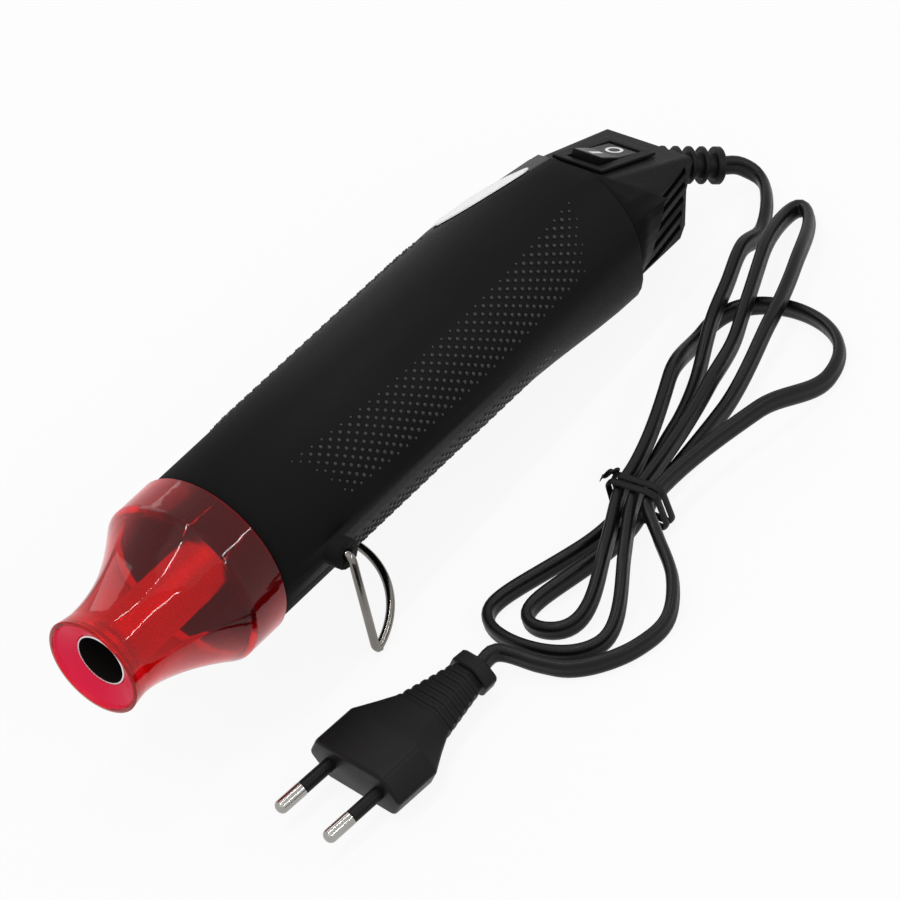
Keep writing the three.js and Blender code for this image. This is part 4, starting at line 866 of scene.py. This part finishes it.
# Clear and polished: the spigot shows through it, and its bends gleam.
red_polycarbonate = red_guard("clear_red_polycarbonate", "#d40814", "#ea101c", (0.02, 0.06), 0.96, 0.35)
# The dish is frosted by the heat, so it looks paler and hides what lies behind it.
red_frosted = red_guard("frosted_red_polycarbonate", "#f0204a", "#fa2a54", (0.3, 0.4), 0.05, 0.4)
print("guard finishes:", [finish.name for finish in (red_polycarbonate, red_frosted)])

# %% [markdown]
# ## The guard's wall
# A Spin of one profile would make it round all the way. Here each ring has its own radius at each angle,
# so the flutes can swell in the middle of the flare and fade out at both ends.

# %% Flare of the guard
GUARD_LENGTH = 48.5
WAIST_RADIUS = 13.9
WAIST_AT = 5
COLLAR_LENGTH = 12.5
COLLAR_RADIUS = 25
FLARE_POWER = 1.75
FLUTES = 6
FLUTE_DEPTH = 0.9
GUARD_ROUND = 180

shoulder = GUARD_LENGTH - COLLAR_LENGTH


def guard_ring(x, radius):
    """A ring round the axis, whose radius may change with the angle from the top."""
    ring = []
    for i in range(GUARD_ROUND):
        angle = 2 * pi * i / GUARD_ROUND
        r = radius(angle) if callable(radius) else radius
        ring.append(at(x, r * sin(angle), r * cos(angle)))
    return ring


def flare(x, inset):
    """Radius of the fluted flare at x, as a function of the angle."""
    t = min(max((x - WAIST_AT) / (shoulder - WAIST_AT), 0), 1)
    plain = WAIST_RADIUS + (COLLAR_RADIUS - WAIST_RADIUS) * t**FLARE_POWER
    return lambda angle: plain - inset - FLUTE_DEPTH * abs(cos(FLUTES / 2 * angle)) * sin(pi * t)


print(f"flare from {WAIST_RADIUS} to {COLLAR_RADIUS} mm in radius, over {shoulder - WAIST_AT} mm")

# %% Guard
MOUTH_RADIUS = 14.6
MOUTH_LIP = 1.4
GUARD_WALL = 1.6
DISH_DEPTH = 3.7
DISH_HOLE = 8.1
FLARE_STEPS = 28
GUARD_EDGE = 0.3
GUARD_SHARP = radians(40)
LIP_STEP = 0.1
LIP_BACK = 1.2
LIP_TAPER = 0.35
SHOULDER_STEP = 0.5
DISH_MARGIN = 1e-3


def guard_rings():
    """Rings round the guard's wall: outside, rear edge, inside, front wall and lip."""
    rows = [(LIP_STEP, MOUTH_RADIUS - GUARD_EDGE), (LIP_STEP + GUARD_EDGE, MOUTH_RADIUS)]
    flare_at = [mix(WAIST_AT, shoulder, i / FLARE_STEPS) for i in range(FLARE_STEPS + 1)]
    rows += [(x, flare(x, 0)) for x in flare_at]
    collar_rear = GUARD_LENGTH - CLEARANCE
    bore = COLLAR_RADIUS - GUARD_WALL
    rows += [(shoulder + SHOULDER_STEP, COLLAR_RADIUS), (collar_rear - GUARD_EDGE, COLLAR_RADIUS),
             (collar_rear, COLLAR_RADIUS - GUARD_EDGE), (collar_rear, bore), (shoulder + GUARD_WALL, bore)]
    rows += [(x, flare(x, GUARD_WALL)) for x in reversed(flare_at[2:-1])]
    wall_back = DISH_DEPTH + GUARD_WALL
    rows += [(wall_back, WAIST_RADIUS - GUARD_WALL), (wall_back, DISH_HOLE), (DISH_DEPTH, DISH_HOLE)]
    lip = MOUTH_RADIUS - MOUTH_LIP
    rows += [(LIP_BACK, lip - LIP_TAPER), (GUARD_EDGE, lip), (0, lip + GUARD_EDGE)]
    return [guard_ring(x, radius) for x, radius in rows]


guard = piece_from("clear_guard", [skin(guard_rings(), looped=True)], red_polycarbonate, "tool",
                   ["nozzle_guard"], GUARD_SHARP)
guard.data.materials.append(red_frosted)
to_tool = on_tool.inverted()
for face in guard.data.polygons:
    x, y, z = to_tool @ face.center
    if x < DISH_DEPTH + DISH_MARGIN and Vector((y, z)).length < MOUTH_RADIUS - MOUTH_LIP:
        face.material_index = 1
print("guard faces:", len(guard.data.polygons))

# %% [markdown]
# ## Copies of the solids
# The body, tail, switch and tube have the right shape already. They could be modelled again, but a merged
# copy of each can be shaded smooth between its sharp edges, which loose triangles can't. The switch, the
# rocker and the outline of the switch's face also get rounded edges, as a moulding has.

# %% Merged copies
FLAT = radians(1)
BEVEL_STEPS = 3


def open_flat(mesh):
    """A mesh opened for editing, with the triangles of each flat face joined."""
    work = bmesh.new()
    work.from_mesh(mesh)
    bmesh.ops.dissolve_limit(work, angle_limit=FLAT, verts=work.verts, edges=work.edges)
    return work


def dressed(name, node, material, body, bevel=0.0):
    """A merged copy that stands for its node, its edges rounded by a bevel if one is given, in mm."""
    mesh = frame["nodes"][node].data.copy()
    mesh.name = name
    mesh.materials.clear()
    finish_mesh(mesh)
    mesh.materials.append(material)
    made = place_piece(name, mesh, body, [node])
    if bevel:
        work = open_flat(mesh)
        work.to_mesh(mesh)
        work.free()
        rounding = made.modifiers.new("edges", "BEVEL")
        rounding.width = bevel * MM
        rounding.segments = BEVEL_STEPS
        rounding.limit_method = "ANGLE"
        rounding.angle_limit = SHARP
        rounding.harden_normals = True
    return made


shell = dressed("body_moulding", "body_shell", matte_abs, "tool")
print("body faces:", len(shell.data.polygons))

# %% [markdown]
# ## The switch's face
# The tail ends in a sloping face that holds the switch. Its outline is softly rounded, but the opening in
# it is sharp. A Bevel modifier would round both, so only the edges of the outline are picked and bevelled.

# %% Switch's face
FACE_SLOPE = radians(23)
SWITCH_BACK = 19.5
FACE_EDGE_RADIUS = 1.4
FACE_EDGE_STEPS = 4
FACE_MARGIN = 0.05
OPENING_REACH = 12

setback = SWITCH_BACK * cos(FACE_SLOPE)
face_middle = Vector((TAIL_END - setback, 0, BACK_TOP + tan(FACE_SLOPE) * setback))
on_face = on_tool @ Matrix.Translation(face_middle) @ Matrix.Rotation(FACE_SLOPE, 4, "Y")


def round_face_edges(mesh):
    """Rounds the outline of the switch's face, and leaves the switch's opening in it sharp."""
    to_face = on_face.inverted()
    work = open_flat(mesh)
    outline = []
    for edge in work.edges:
        ends = [to_face @ v.co for v in edge.verts]
        if all(abs(p.z) < FACE_MARGIN and p.xy.length > OPENING_REACH for p in ends):
            if len(edge.link_faces) == 2 and edge.calc_face_angle() > SHARP:
                outline.append(edge)
    print("rounded edges:", len(outline))
    bmesh.ops.bevel(work, geom=outline, offset=FACE_EDGE_RADIUS * MM, segments=FACE_EDGE_STEPS, profile=0.5,
                    affect="EDGES", clamp_overlap=True)
    work.to_mesh(mesh)
    work.free()


tail = dressed("tail_moulding", "tail_cap", matte_abs, "tool")
round_face_edges(tail.data)

# %% Switch and rocker
SWITCH_EDGE = 0.25
ROCKER_EDGE = 0.35

switch = dressed("switch_frame", "switch_body", matte_abs, "tool", SWITCH_EDGE)
rocker = dressed("switch_rocker", "rocker", gloss_abs, "switch_rocker", ROCKER_EDGE)
print("copies:", [piece.name for piece in (shell, tail, switch, rocker)])

# %% [markdown]
# ## The outlet tube
# A steel tube whose bright rim shows in the dish, dark inside. Paint masks could split the two
# finishes, but the way a face looks is enough: those that look at the axis are black.

# %% Outlet tube
INWARD = -0.5

tube = dressed("outlet_liner", "outlet_tube", outlet_steel, "tool")
tube.data.materials.append(dark_bore)
axis_point = at(0, 0, 0)
axis_way = (at(1, 0, 0) - axis_point).normalized()
for face in tube.data.polygons:
    offset = face.center - axis_point
    outward = offset - axis_way * offset.dot(axis_way)
    if face.normal.dot(outward.normalized()) < INWARD:
        face.material_index = 1
print("blackened faces:", sum(face.material_index for face in tube.data.polygons))

# %% [markdown]
# ## The rocker's marks
# A ring and a bar, printed in white, say off and on. They could be masks in the rocker's finish, but a thin
# plate keeps its edge clean from close by. Each is drawn flat and turned to its slope of the rocker.

# %% Slopes of the rocker
ROCKER_TILT = radians(8)
ROCKER_PIVOT_DEPTH = 1.2
ROCKER_HALF = 8.0
ROCKER_CROWN = 2.0
ROCKER_DISH = 0.7

to_pivot = Matrix.Translation((0, 0, -ROCKER_PIVOT_DEPTH))
on_rocker = on_face @ to_pivot @ Matrix.Rotation(ROCKER_TILT, 4, "Y") @ to_pivot.inverted()


def on_slope(end):
    """The middle of one half of the rocker's top: the rear half for 1, the front half for -1."""
    lean = Matrix.Rotation(-end * atan2(ROCKER_DISH, ROCKER_HALF), 4, "Y")
    height = ROCKER_CROWN - ROCKER_DISH / 2
    return on_rocker @ Matrix.Translation((end * ROCKER_HALF / 2, 0, height)) @ lean


print("rear slope at", tuple(round(c, 4) for c in on_slope(1).translation))

# %% Off and on marks
MARK_THICKNESS = 0.06
RING_STEPS = 48
RING_RADIUS = 2.3
RING_WIDTH = 0.8
RING_STRETCH = 1.2
BAR_LENGTH = 4.6
BAR_WIDTH = 1.6


def ring_mark(place):
    """A flat ring with a little thickness, drawn out along the rocker."""
    hole = RING_RADIUS - RING_WIDTH
    profile = ((RING_RADIUS, 0), (RING_RADIUS, MARK_THICKNESS), (hole, MARK_THICKNESS), (hole, 0))
    rings = []
    for c, s in circle(RING_STEPS):
        rings.append([place @ Vector((RING_STRETCH * r * c, r * s, z)) for r, z in profile])
    return skin(rings, looped=True)


def bar_mark(place):
    """A flat bar along the rocker."""
    side = BAR_WIDTH / 2
    corners = ((-side, 0), (side, 0), (side, MARK_THICKNESS), (-side, MARK_THICKNESS))
    rings = []
    for x in (-BAR_LENGTH / 2, BAR_LENGTH / 2):
        rings.append([place @ Vector((x, y, z)) for y, z in corners])
    return skin(rings)


marks = piece_from("rocker_marks", [ring_mark(on_slope(1)), bar_mark(on_slope(-1))], white_ink,
                   "switch_rocker")
print("mark faces:", len(marks.data.polygons))

# %% [markdown]
# ## The wire stand
# Plated steel wire, bent to two legs with a round foot. A copy of the solid could do, but its eight sides
# would show on a bright wire, so the same route is swept with a finer section.

# %% Route of the wire
WIRE_RADIUS = 1.2
WIRE_BEND = 2.4
BOSS_FACE = 27.6
PIN_DEPTH = 5
LEG_LENGTH = 33
FOOT_REACH = 24
FOOT_GAP = 3.8
BODY_RADIUS = 24
BEND_STEPS = 8
FOOT_STEPS = 60


def stand_route():
    """Points of the wire, in mm on the tool, from one boss to the other."""
    leg_y = BOSS_FACE + CLEARANCE + WIRE_RADIUS
    foot_z = PIVOT_Z - LEG_LENGTH
    arc_top = -BODY_RADIUS - FOOT_GAP - WIRE_RADIUS
    half = [Vector((PIVOT_X, -(BOSS_FACE - PIN_DEPTH + CLEARANCE), PIVOT_Z))]
    for i in range(BEND_STEPS + 1):
        angle = pi / 2 * i / BEND_STEPS
        half.append(Vector((PIVOT_X, -(leg_y - WIRE_BEND * (1 - sin(angle))),
                            PIVOT_Z - WIRE_BEND * (1 - cos(angle)))))
    for i in range(BEND_STEPS + 1):
        t = i / BEND_STEPS
        half.append(Vector((PIVOT_X + WIRE_BEND / 2 * t * t, -leg_y, foot_z + WIRE_BEND * (1 - t))))
    foot = []
    for i in range(1, FOOT_STEPS):
        angle = pi * i / FOOT_STEPS
        foot.append(Vector((PIVOT_X + FOOT_REACH * sin(angle), -leg_y * cos(angle),
                            mix(foot_z, arc_top, sin(angle)))))
    far = [Vector((p.x, -p.y, p.z)) for p in reversed(half)]
    return half + foot + far


print("points on the wire:", len(stand_route()))

# %% Stand
WIRE_SIDES = 20


def wire_rings(line):
    """Rings of the round wire, carried along its line without twist."""
    normal = Vector((0, 0, 1))
    rings = []
    for i, point in enumerate(line):
        ahead = (line[min(i + 1, len(line) - 1)] - line[max(i - 1, 0)]).normalized()
        normal = (normal - ahead * normal.dot(ahead)).normalized()
        side = ahead.cross(normal)
        ways = [normal * c + side * s for c, s in circle(WIRE_SIDES)]
        rings.append([on_tool @ (point + way * WIRE_RADIUS) for way in ways])
    return rings


stand = piece_from("wire_stand", [skin(wire_rings(stand_route()))], wire_nickel, "stand",
                   ["bail_stand"], ROUND_SHARP)
print("stand faces:", len(stand.data.polygons))

# %% [markdown]
# ## The gland
# A soft sleeve with fins, so that it bends in a curve where the lead leaves the tail. Its fins could be rings
# on a tube, but one profile turned round its own axis makes a single skin, with the fins' edges rounded.

# %% Gland
GLAND_CORE = 3.5
GLAND_FIN = 5.2
GLAND_FINS = 4
GLAND_FIN_SHARE = 0.3
GLAND_BARE = 5.4
GLAND_COLLAR = 2.2
GLAND_INSIDE = -4.6
GLAND_FLANGE = 1
GLAND_FLANGE_RADIUS = 4.4
FIN_EDGE = 0.3

on_gland = (on_tool @ Matrix.Translation(gland_root) @ Matrix.Rotation(-GLAND_YAW, 4, "Z")
            @ Matrix.Rotation(GLAND_TILT, 4, "Y"))


def fin(front, rear, radius):
    """Profile of a fin with rounded edges."""
    return [(front, GLAND_CORE), (front, radius - FIN_EDGE), (front + FIN_EDGE, radius),
            (rear - FIN_EDGE, radius), (rear, radius - FIN_EDGE), (rear, GLAND_CORE)]


gland_collar = GLAND_LENGTH - GLAND_COLLAR
fin_pitch = (gland_collar - GLAND_BARE) / GLAND_FINS
gland_profile = [
    (GLAND_INSIDE - GLAND_FLANGE, GLAND_FLANGE_RADIUS),
    (GLAND_INSIDE, GLAND_FLANGE_RADIUS),
    (GLAND_INSIDE, GLAND_CORE),
]
for i in range(GLAND_FINS):
    start = GLAND_BARE + i * fin_pitch
    gland_profile += fin(start, start + GLAND_FIN_SHARE * fin_pitch, GLAND_FIN)
gland_profile += fin(gland_collar, GLAND_LENGTH, GLAND_FIN)
gland = piece_from("cord_sleeve", [turned(gland_profile, on_gland)], gland_pvc, "tool",
                   ["cord_gland"])
print("gland faces:", len(gland.data.polygons))

# %% [markdown]
# ## The grip
# Four patches of raised dots run along the body, two on each side. They repeat by a rule, so Geometry
# Nodes lay them out: each point finds its row and its place in the row from its own number, every second
# row is shifted by half a pitch, the upper patches bow down in the middle, the points past a patch's
# slanted ends are deleted, and the dots shrink towards its edges.

# %% Grip tree
SMALLEST_DOT = 0.5
EDGE_FADE = 4.0
END_FADE = 0.3
DOT_SIDES = 8
DOT_RINGS = 6


def grip_tree():
    """A tree that lays rows of flattened dots round the axis."""
    tree = bpy.data.node_groups.new("grip_dots", "GeometryNodeTree")
    tree.interface.new_socket("Geometry", in_out="OUTPUT", socket_type="NodeSocketGeometry")
    for name, kind in (("Columns", "Int"), ("Rows", "Int"), ("Pitch", "Float"), ("Row Angle", "Float"),
                       ("First Angle", "Float"), ("First X", "Float"), ("Last X", "Float"),
                       ("Front Slant", "Float"), ("Rear Slant", "Float"), ("Bow", "Float"),
                       ("Radius", "Float"), ("Dot Width", "Float"), ("Dot Height", "Float"),
                       ("Finish", "Material")):
        tree.interface.new_socket(name, in_out="INPUT", socket_type=f"NodeSocket{kind}")
    given = add(tree, "NodeGroupInput").outputs

    def sums(operation, a, b):
        return add(tree, "ShaderNodeMath", {0: a, 1: b}, operation=operation).outputs[0]

    index = add(tree, "GeometryNodeInputIndex").outputs[0]
    column = sums("MODULO", index, given["Columns"])
    row = sums("FLOOR", sums("DIVIDE", index, given["Columns"]), 0.0)
    odd = sums("MODULO", row, 2.0)
    steps = sums("ADD", column, sums("MULTIPLY", odd, 0.5))
    x = sums("ADD", given["First X"], sums("MULTIPLY", steps, given["Pitch"]))
    front = sums("ADD", given["First X"], sums("MULTIPLY", row, given["Front Slant"]))
    rear = sums("SUBTRACT", given["Last X"], sums("MULTIPLY", row, given["Rear Slant"]))
    inside = sums("MINIMUM", sums("SUBTRACT", x, front), sums("SUBTRACT", rear, x))
    along = sums("DIVIDE", sums("SUBTRACT", x, given["First X"]),
                 sums("SUBTRACT", given["Last X"], given["First X"]))
    arch = sums("MULTIPLY", sums("MULTIPLY", along, 4.0), sums("SUBTRACT", 1.0, along))
    straight = sums("ADD", given["First Angle"], sums("MULTIPLY", row, given["Row Angle"]))
    angle = sums("ADD", straight, sums("MULTIPLY", arch, given["Bow"]))
    across = sums("SINE", angle, 0.0)
    up = sums("COSINE", angle, 0.0)
    outward = add(tree, "ShaderNodeCombineXYZ", {"Y": across, "Z": up}).outputs[0]
    place = add(tree, "ShaderNodeCombineXYZ", {
        "X": x, "Y": sums("MULTIPLY", across, given["Radius"]), "Z": sums("MULTIPLY", up, given["Radius"]),
    }).outputs[0]
    turn = add(tree, "FunctionNodeAlignRotationToVector", {"Vector": outward}, axis="Z").outputs[0]
    row_share = sums("DIVIDE", sums("ADD", row, 0.5), given["Rows"])
    to_edge = sums("MINIMUM", row_share, sums("SUBTRACT", 1.0, row_share))
    to_end = sums("DIVIDE", inside, given["Pitch"])
    nearest = sums("MINIMUM", sums("MULTIPLY", to_edge, EDGE_FADE), sums("MULTIPLY", to_end, END_FADE))
    size = sums("MINIMUM", sums("ADD", nearest, SMALLEST_DOT), 1.0)
    wide = sums("MULTIPLY", size, sums("DIVIDE", given["Dot Width"], 2.0))
    tall = sums("MULTIPLY", size, given["Dot Height"])
    scale = add(tree, "ShaderNodeCombineXYZ", {"X": wide, "Y": wide, "Z": tall}).outputs[0]
    count = sums("MULTIPLY", given["Columns"], given["Rows"])
    points = add(tree, "GeometryNodePoints", {"Count": count, "Position": place}).outputs[0]
    sizes = add(tree, "GeometryNodeStoreNamedAttribute",
                {"Geometry": points, "Name": "dot_size", "Value": scale}, data_type="FLOAT_VECTOR").outputs[0]
    turns = add(tree, "GeometryNodeStoreNamedAttribute",
                {"Geometry": sizes, "Name": "dot_turn", "Value": turn}, data_type="QUATERNION").outputs[0]
    kept = add(tree, "GeometryNodeDeleteGeometry",
               {"Geometry": turns, "Selection": sums("LESS_THAN", inside, 0.0)}).outputs[0]
    kept_size = add(tree, "GeometryNodeInputNamedAttribute", {"Name": "dot_size"}, data_type="FLOAT_VECTOR")
    kept_turn = add(tree, "GeometryNodeInputNamedAttribute", {"Name": "dot_turn"}, data_type="QUATERNION")
    dot = add(tree, "GeometryNodeMeshUVSphere",
              {"Segments": DOT_SIDES, "Rings": DOT_RINGS, "Radius": 1.0}).outputs[0]
    dots = add(tree, "GeometryNodeInstanceOnPoints",
               {"Points": kept, "Instance": dot, "Rotation": kept_turn.outputs[0],
                "Scale": kept_size.outputs[0]}).outputs[0]
    real = add(tree, "GeometryNodeRealizeInstances", {"Geometry": dots}).outputs[0]
    done = add(tree, "GeometryNodeSetMaterial", {"Geometry": real, "Material": given["Finish"]}).outputs[0]
    add(tree, "NodeGroupOutput", {"Geometry": done})
    return tree


grip_nodes = grip_tree()
print("nodes in the grip's tree:", len(grip_nodes.nodes))

# %% [markdown]
# ## The grip's patches
# The near upper patch shows in full. A flatter one lies below it, and the far side repeats both over a
# shorter run. They could be four pieces, but they are one moulding, so their meshes are gathered in one.

# %% Grip patches
GRIP_PITCH = 3.65
GRIP_ROW = 1.42
DOT_WIDTH = 1.3
DOT_HEIGHT = 0.55
LOW_DOT_HEIGHT = 0.25
GRIP_FRONT = 71
GRIP_REAR = 189
FAR_GRIP_REAR = 160
GRIP_ANGLES = (35, 75)
GRIP_BOW = 8
LOW_GRIP_ANGLES = (112, 136)
FRONT_SLANT = 0.64
REAR_SLANT = 0.9

grip_inputs = [item for item in grip_nodes.interface.items_tree if item.in_out == "INPUT"]
grip_sockets = {item.name: item.identifier for item in grip_inputs}


def grip_patch(side, angles, rear):
    """One patch of dots as a plain mesh, on the far side for 1 and on the near side for -1."""
    rows = round(radians(angles[1] - angles[0]) * BODY_RADIUS / GRIP_ROW)
    columns = int((rear - GRIP_FRONT) / GRIP_PITCH) + 1
    upper = angles == GRIP_ANGLES
    holder = bpy.data.objects.new("grip_holder", bpy.data.meshes.new("grip_holder"))
    scene.collection.objects.link(holder)
    layout = holder.modifiers.new("grip", "NODES")
    layout.node_group = grip_nodes
    values = {
        "Columns": columns, "Rows": rows, "Pitch": GRIP_PITCH, "Row Angle": side * GRIP_ROW / BODY_RADIUS,
        "First Angle": side * radians(angles[0]), "First X": float(GRIP_FRONT), "Last X": float(rear),
        "Front Slant": FRONT_SLANT, "Rear Slant": REAR_SLANT,
        "Bow": side * radians(GRIP_BOW) if upper else 0.0,
        "Radius": float(BODY_RADIUS), "Dot Width": DOT_WIDTH, "Finish": worn_abs,
        "Dot Height": DOT_HEIGHT if upper else LOW_DOT_HEIGHT,
    }
    for name, value in values.items():
        layout[grip_sockets[name]] = value
    mesh = bpy.data.meshes.new_from_object(holder.evaluated_get(bpy.context.evaluated_depsgraph_get()))
    bpy.data.objects.remove(holder)
    return mesh


print("inputs of the grip's tree:", list(grip_sockets))

# %% Grip
grip = bpy.data.meshes.new("grip_dots")
gather = bmesh.new()
for side, rear in ((-1, GRIP_REAR), (1, FAR_GRIP_REAR)):
    for angles in (GRIP_ANGLES, LOW_GRIP_ANGLES):
        gather.from_mesh(grip_patch(side, angles, rear))
gather.transform(on_tool)
gather.to_mesh(grip)
gather.free()
grip.shade_smooth()
grip.materials.append(worn_abs)
grip_dots = place_piece("grip_dots", grip, "tool")
print("grip faces:", len(grip_dots.data.polygons))

# %% [markdown]
# ## The rating plate
# A thin plain white plate on a flat of the body. It could be a patch of colour on the body, but a plate of
# its own has an edge that catches the light.

# %% Plate
# Satin foil: bright, with soft reflections.
satin_plate = surface("satin_printed_foil", "#f0f0f0", "#fafafa", 12, (0.34, 0.46), 0.6, 0.003, IOR=1.5)
plate = dressed("bare_rating_plate", "rating_plate", satin_plate, "tool")
print("plate faces:", len(plate.data.polygons))

# %% [markdown]
# ## Inside the tool
# The fan, its motor, the heating element and the rectifier keep their solids. They could be modelled finer,
# but the closed body hides them, so only their finish changes, and it is set on each node's own slots.

# %% Finishes of the inner pieces
inner = {
    "element_holder": phenolic, "mica_sleeve": mica, "element_former": mica, "heating_coil": oxide_wire,
    "thermal_fuse": nickel, "motor_mount": white_nylon, "motor_screw_far": nickel,
    "motor_screw_near": nickel, "motor_can": drawn_steel, "motor_bush": turned_brass,
    "motor_end_cap": matte_abs, "motor_shaft": drawn_steel, "fan_impeller": white_nylon,
    "rectifier_board": board, "tail_screw_far": nickel, "tail_screw_near": nickel,
    **{f"diode_{i}": gloss_abs for i in range(1, 5)},
}
for name, material in inner.items():
    for slot in frame["nodes"][name].material_slots:
        slot.material = material
print("inner nodes finished:", len(inner))

# %% [markdown]
# ## Light and surroundings
# The photograph is a cut-out on white: soft light from all round, and hardly any shadow. More lamps could
# make the white, but they would wash the black out. So the world and the floor look white to the camera, to
# reflections and to light that passes through the guard, and light the tool at a plain level.

# %% World
AMBIENT = 0.42


def seen_directly(tree):
    """One for rays that see the background: from the camera, reflected or refracted."""
    rays = add(tree, "ShaderNodeLightPath").outputs
    seen = rays["Is Camera Ray"]
    for kind in ("Is Glossy Ray", "Is Transmission Ray"):
        seen = add(tree, "ShaderNodeMath", {0: seen, 1: rays[kind]}, operation="MAXIMUM").outputs[0]
    return seen


world = bpy.data.worlds.new("white_room")
scene.world = world
world.use_nodes = True
world.node_tree.nodes.clear()
strength = add(world.node_tree, "ShaderNodeMapRange",
               {"Value": seen_directly(world.node_tree), "To Min": AMBIENT, "To Max": 1.0})
sky = add(world.node_tree, "ShaderNodeBackground",
          {"Color": (1, 1, 1, 1), "Strength": strength.outputs[0]})
add(world.node_tree, "ShaderNodeOutputWorld", {"Surface": sky.outputs[0]})
print("light from the world:", AMBIENT)

# %% Floor
PAPER_GREY = 0.86
FLOOR_WHITE = 0.9
FLOOR_HALF = 6
FLOOR_DROP = 0.4

# White paper: matte, so that it keeps the tool's soft shadow.
paper, paper_tree, _ = blank_material("white_paper_sweep")
matte = add(paper_tree, "ShaderNodeBsdfDiffuse", {"Color": (PAPER_GREY, PAPER_GREY, PAPER_GREY, 1)})
glow = add(paper_tree, "ShaderNodeEmission", {"Color": (1, 1, 1, 1), "Strength": 1.0})
white_share = add(paper_tree, "ShaderNodeMath", {0: seen_directly(paper_tree), 1: FLOOR_WHITE},
                  operation="MULTIPLY")
sheet = add(paper_tree, "ShaderNodeMixShader",
            {0: white_share.outputs[0], 1: matte.outputs[0], 2: glow.outputs[0]})
add(paper_tree, "ShaderNodeOutputMaterial", {"Surface": sheet.outputs[0]})

floor_mesh = bpy.data.meshes.new("floor")
floor_corners = [(FLOOR_HALF * x, FLOOR_HALF * y, -FLOOR_DROP * MM)
                 for x, y in ((-1, -1), (1, -1), (1, 1), (-1, 1))]
floor_mesh.from_pydata(floor_corners, [], [(0, 1, 2, 3)])
floor_mesh.materials.append(paper)
floor = bpy.data.objects.new("floor", floor_mesh)
scene.collection.objects.link(floor)
print(f"floor {FLOOR_DROP} mm under zero, clear of the stand's foot")

# %% [markdown]
# ## The lamps
# Two soft lamps shape the body, and two narrow strips draw the streaks on the clear guard. Small bright lamps
# would give hard shadows, so all are areas. Each has a place and a size in metres and a power in watts, and
# looks at the tool.

# %% Lamps
LAMPS = {
    "key": ((-0.55, -0.35, 1.05), (1.3, 1.3), 2.6),
    "back": ((0.25, 0.9, 0.8), (0.7, 0.7), 2.8),
    "overhead_strip": ((0.0, 0.02, 1.2), (1.1, 0.022), 3.4),
    "near_strip": ((0.2, -1.0, 0.72), (1.4, 0.022), 3.6),
}
for name, (place, size, power) in LAMPS.items():
    lamp = bpy.data.objects.new(f"{name}_lamp", bpy.data.lights.new(f"{name}_lamp", "AREA"))
    scene.collection.objects.link(lamp)
    lamp.data.shape = "RECTANGLE"
    lamp.data.size, lamp.data.size_y = size
    lamp.data.energy = power
    lamp.location = place
    lamp.rotation_euler = (-Vector(place)).to_track_quat("-Z", "Y").to_euler()
print("lamps:", list(LAMPS))
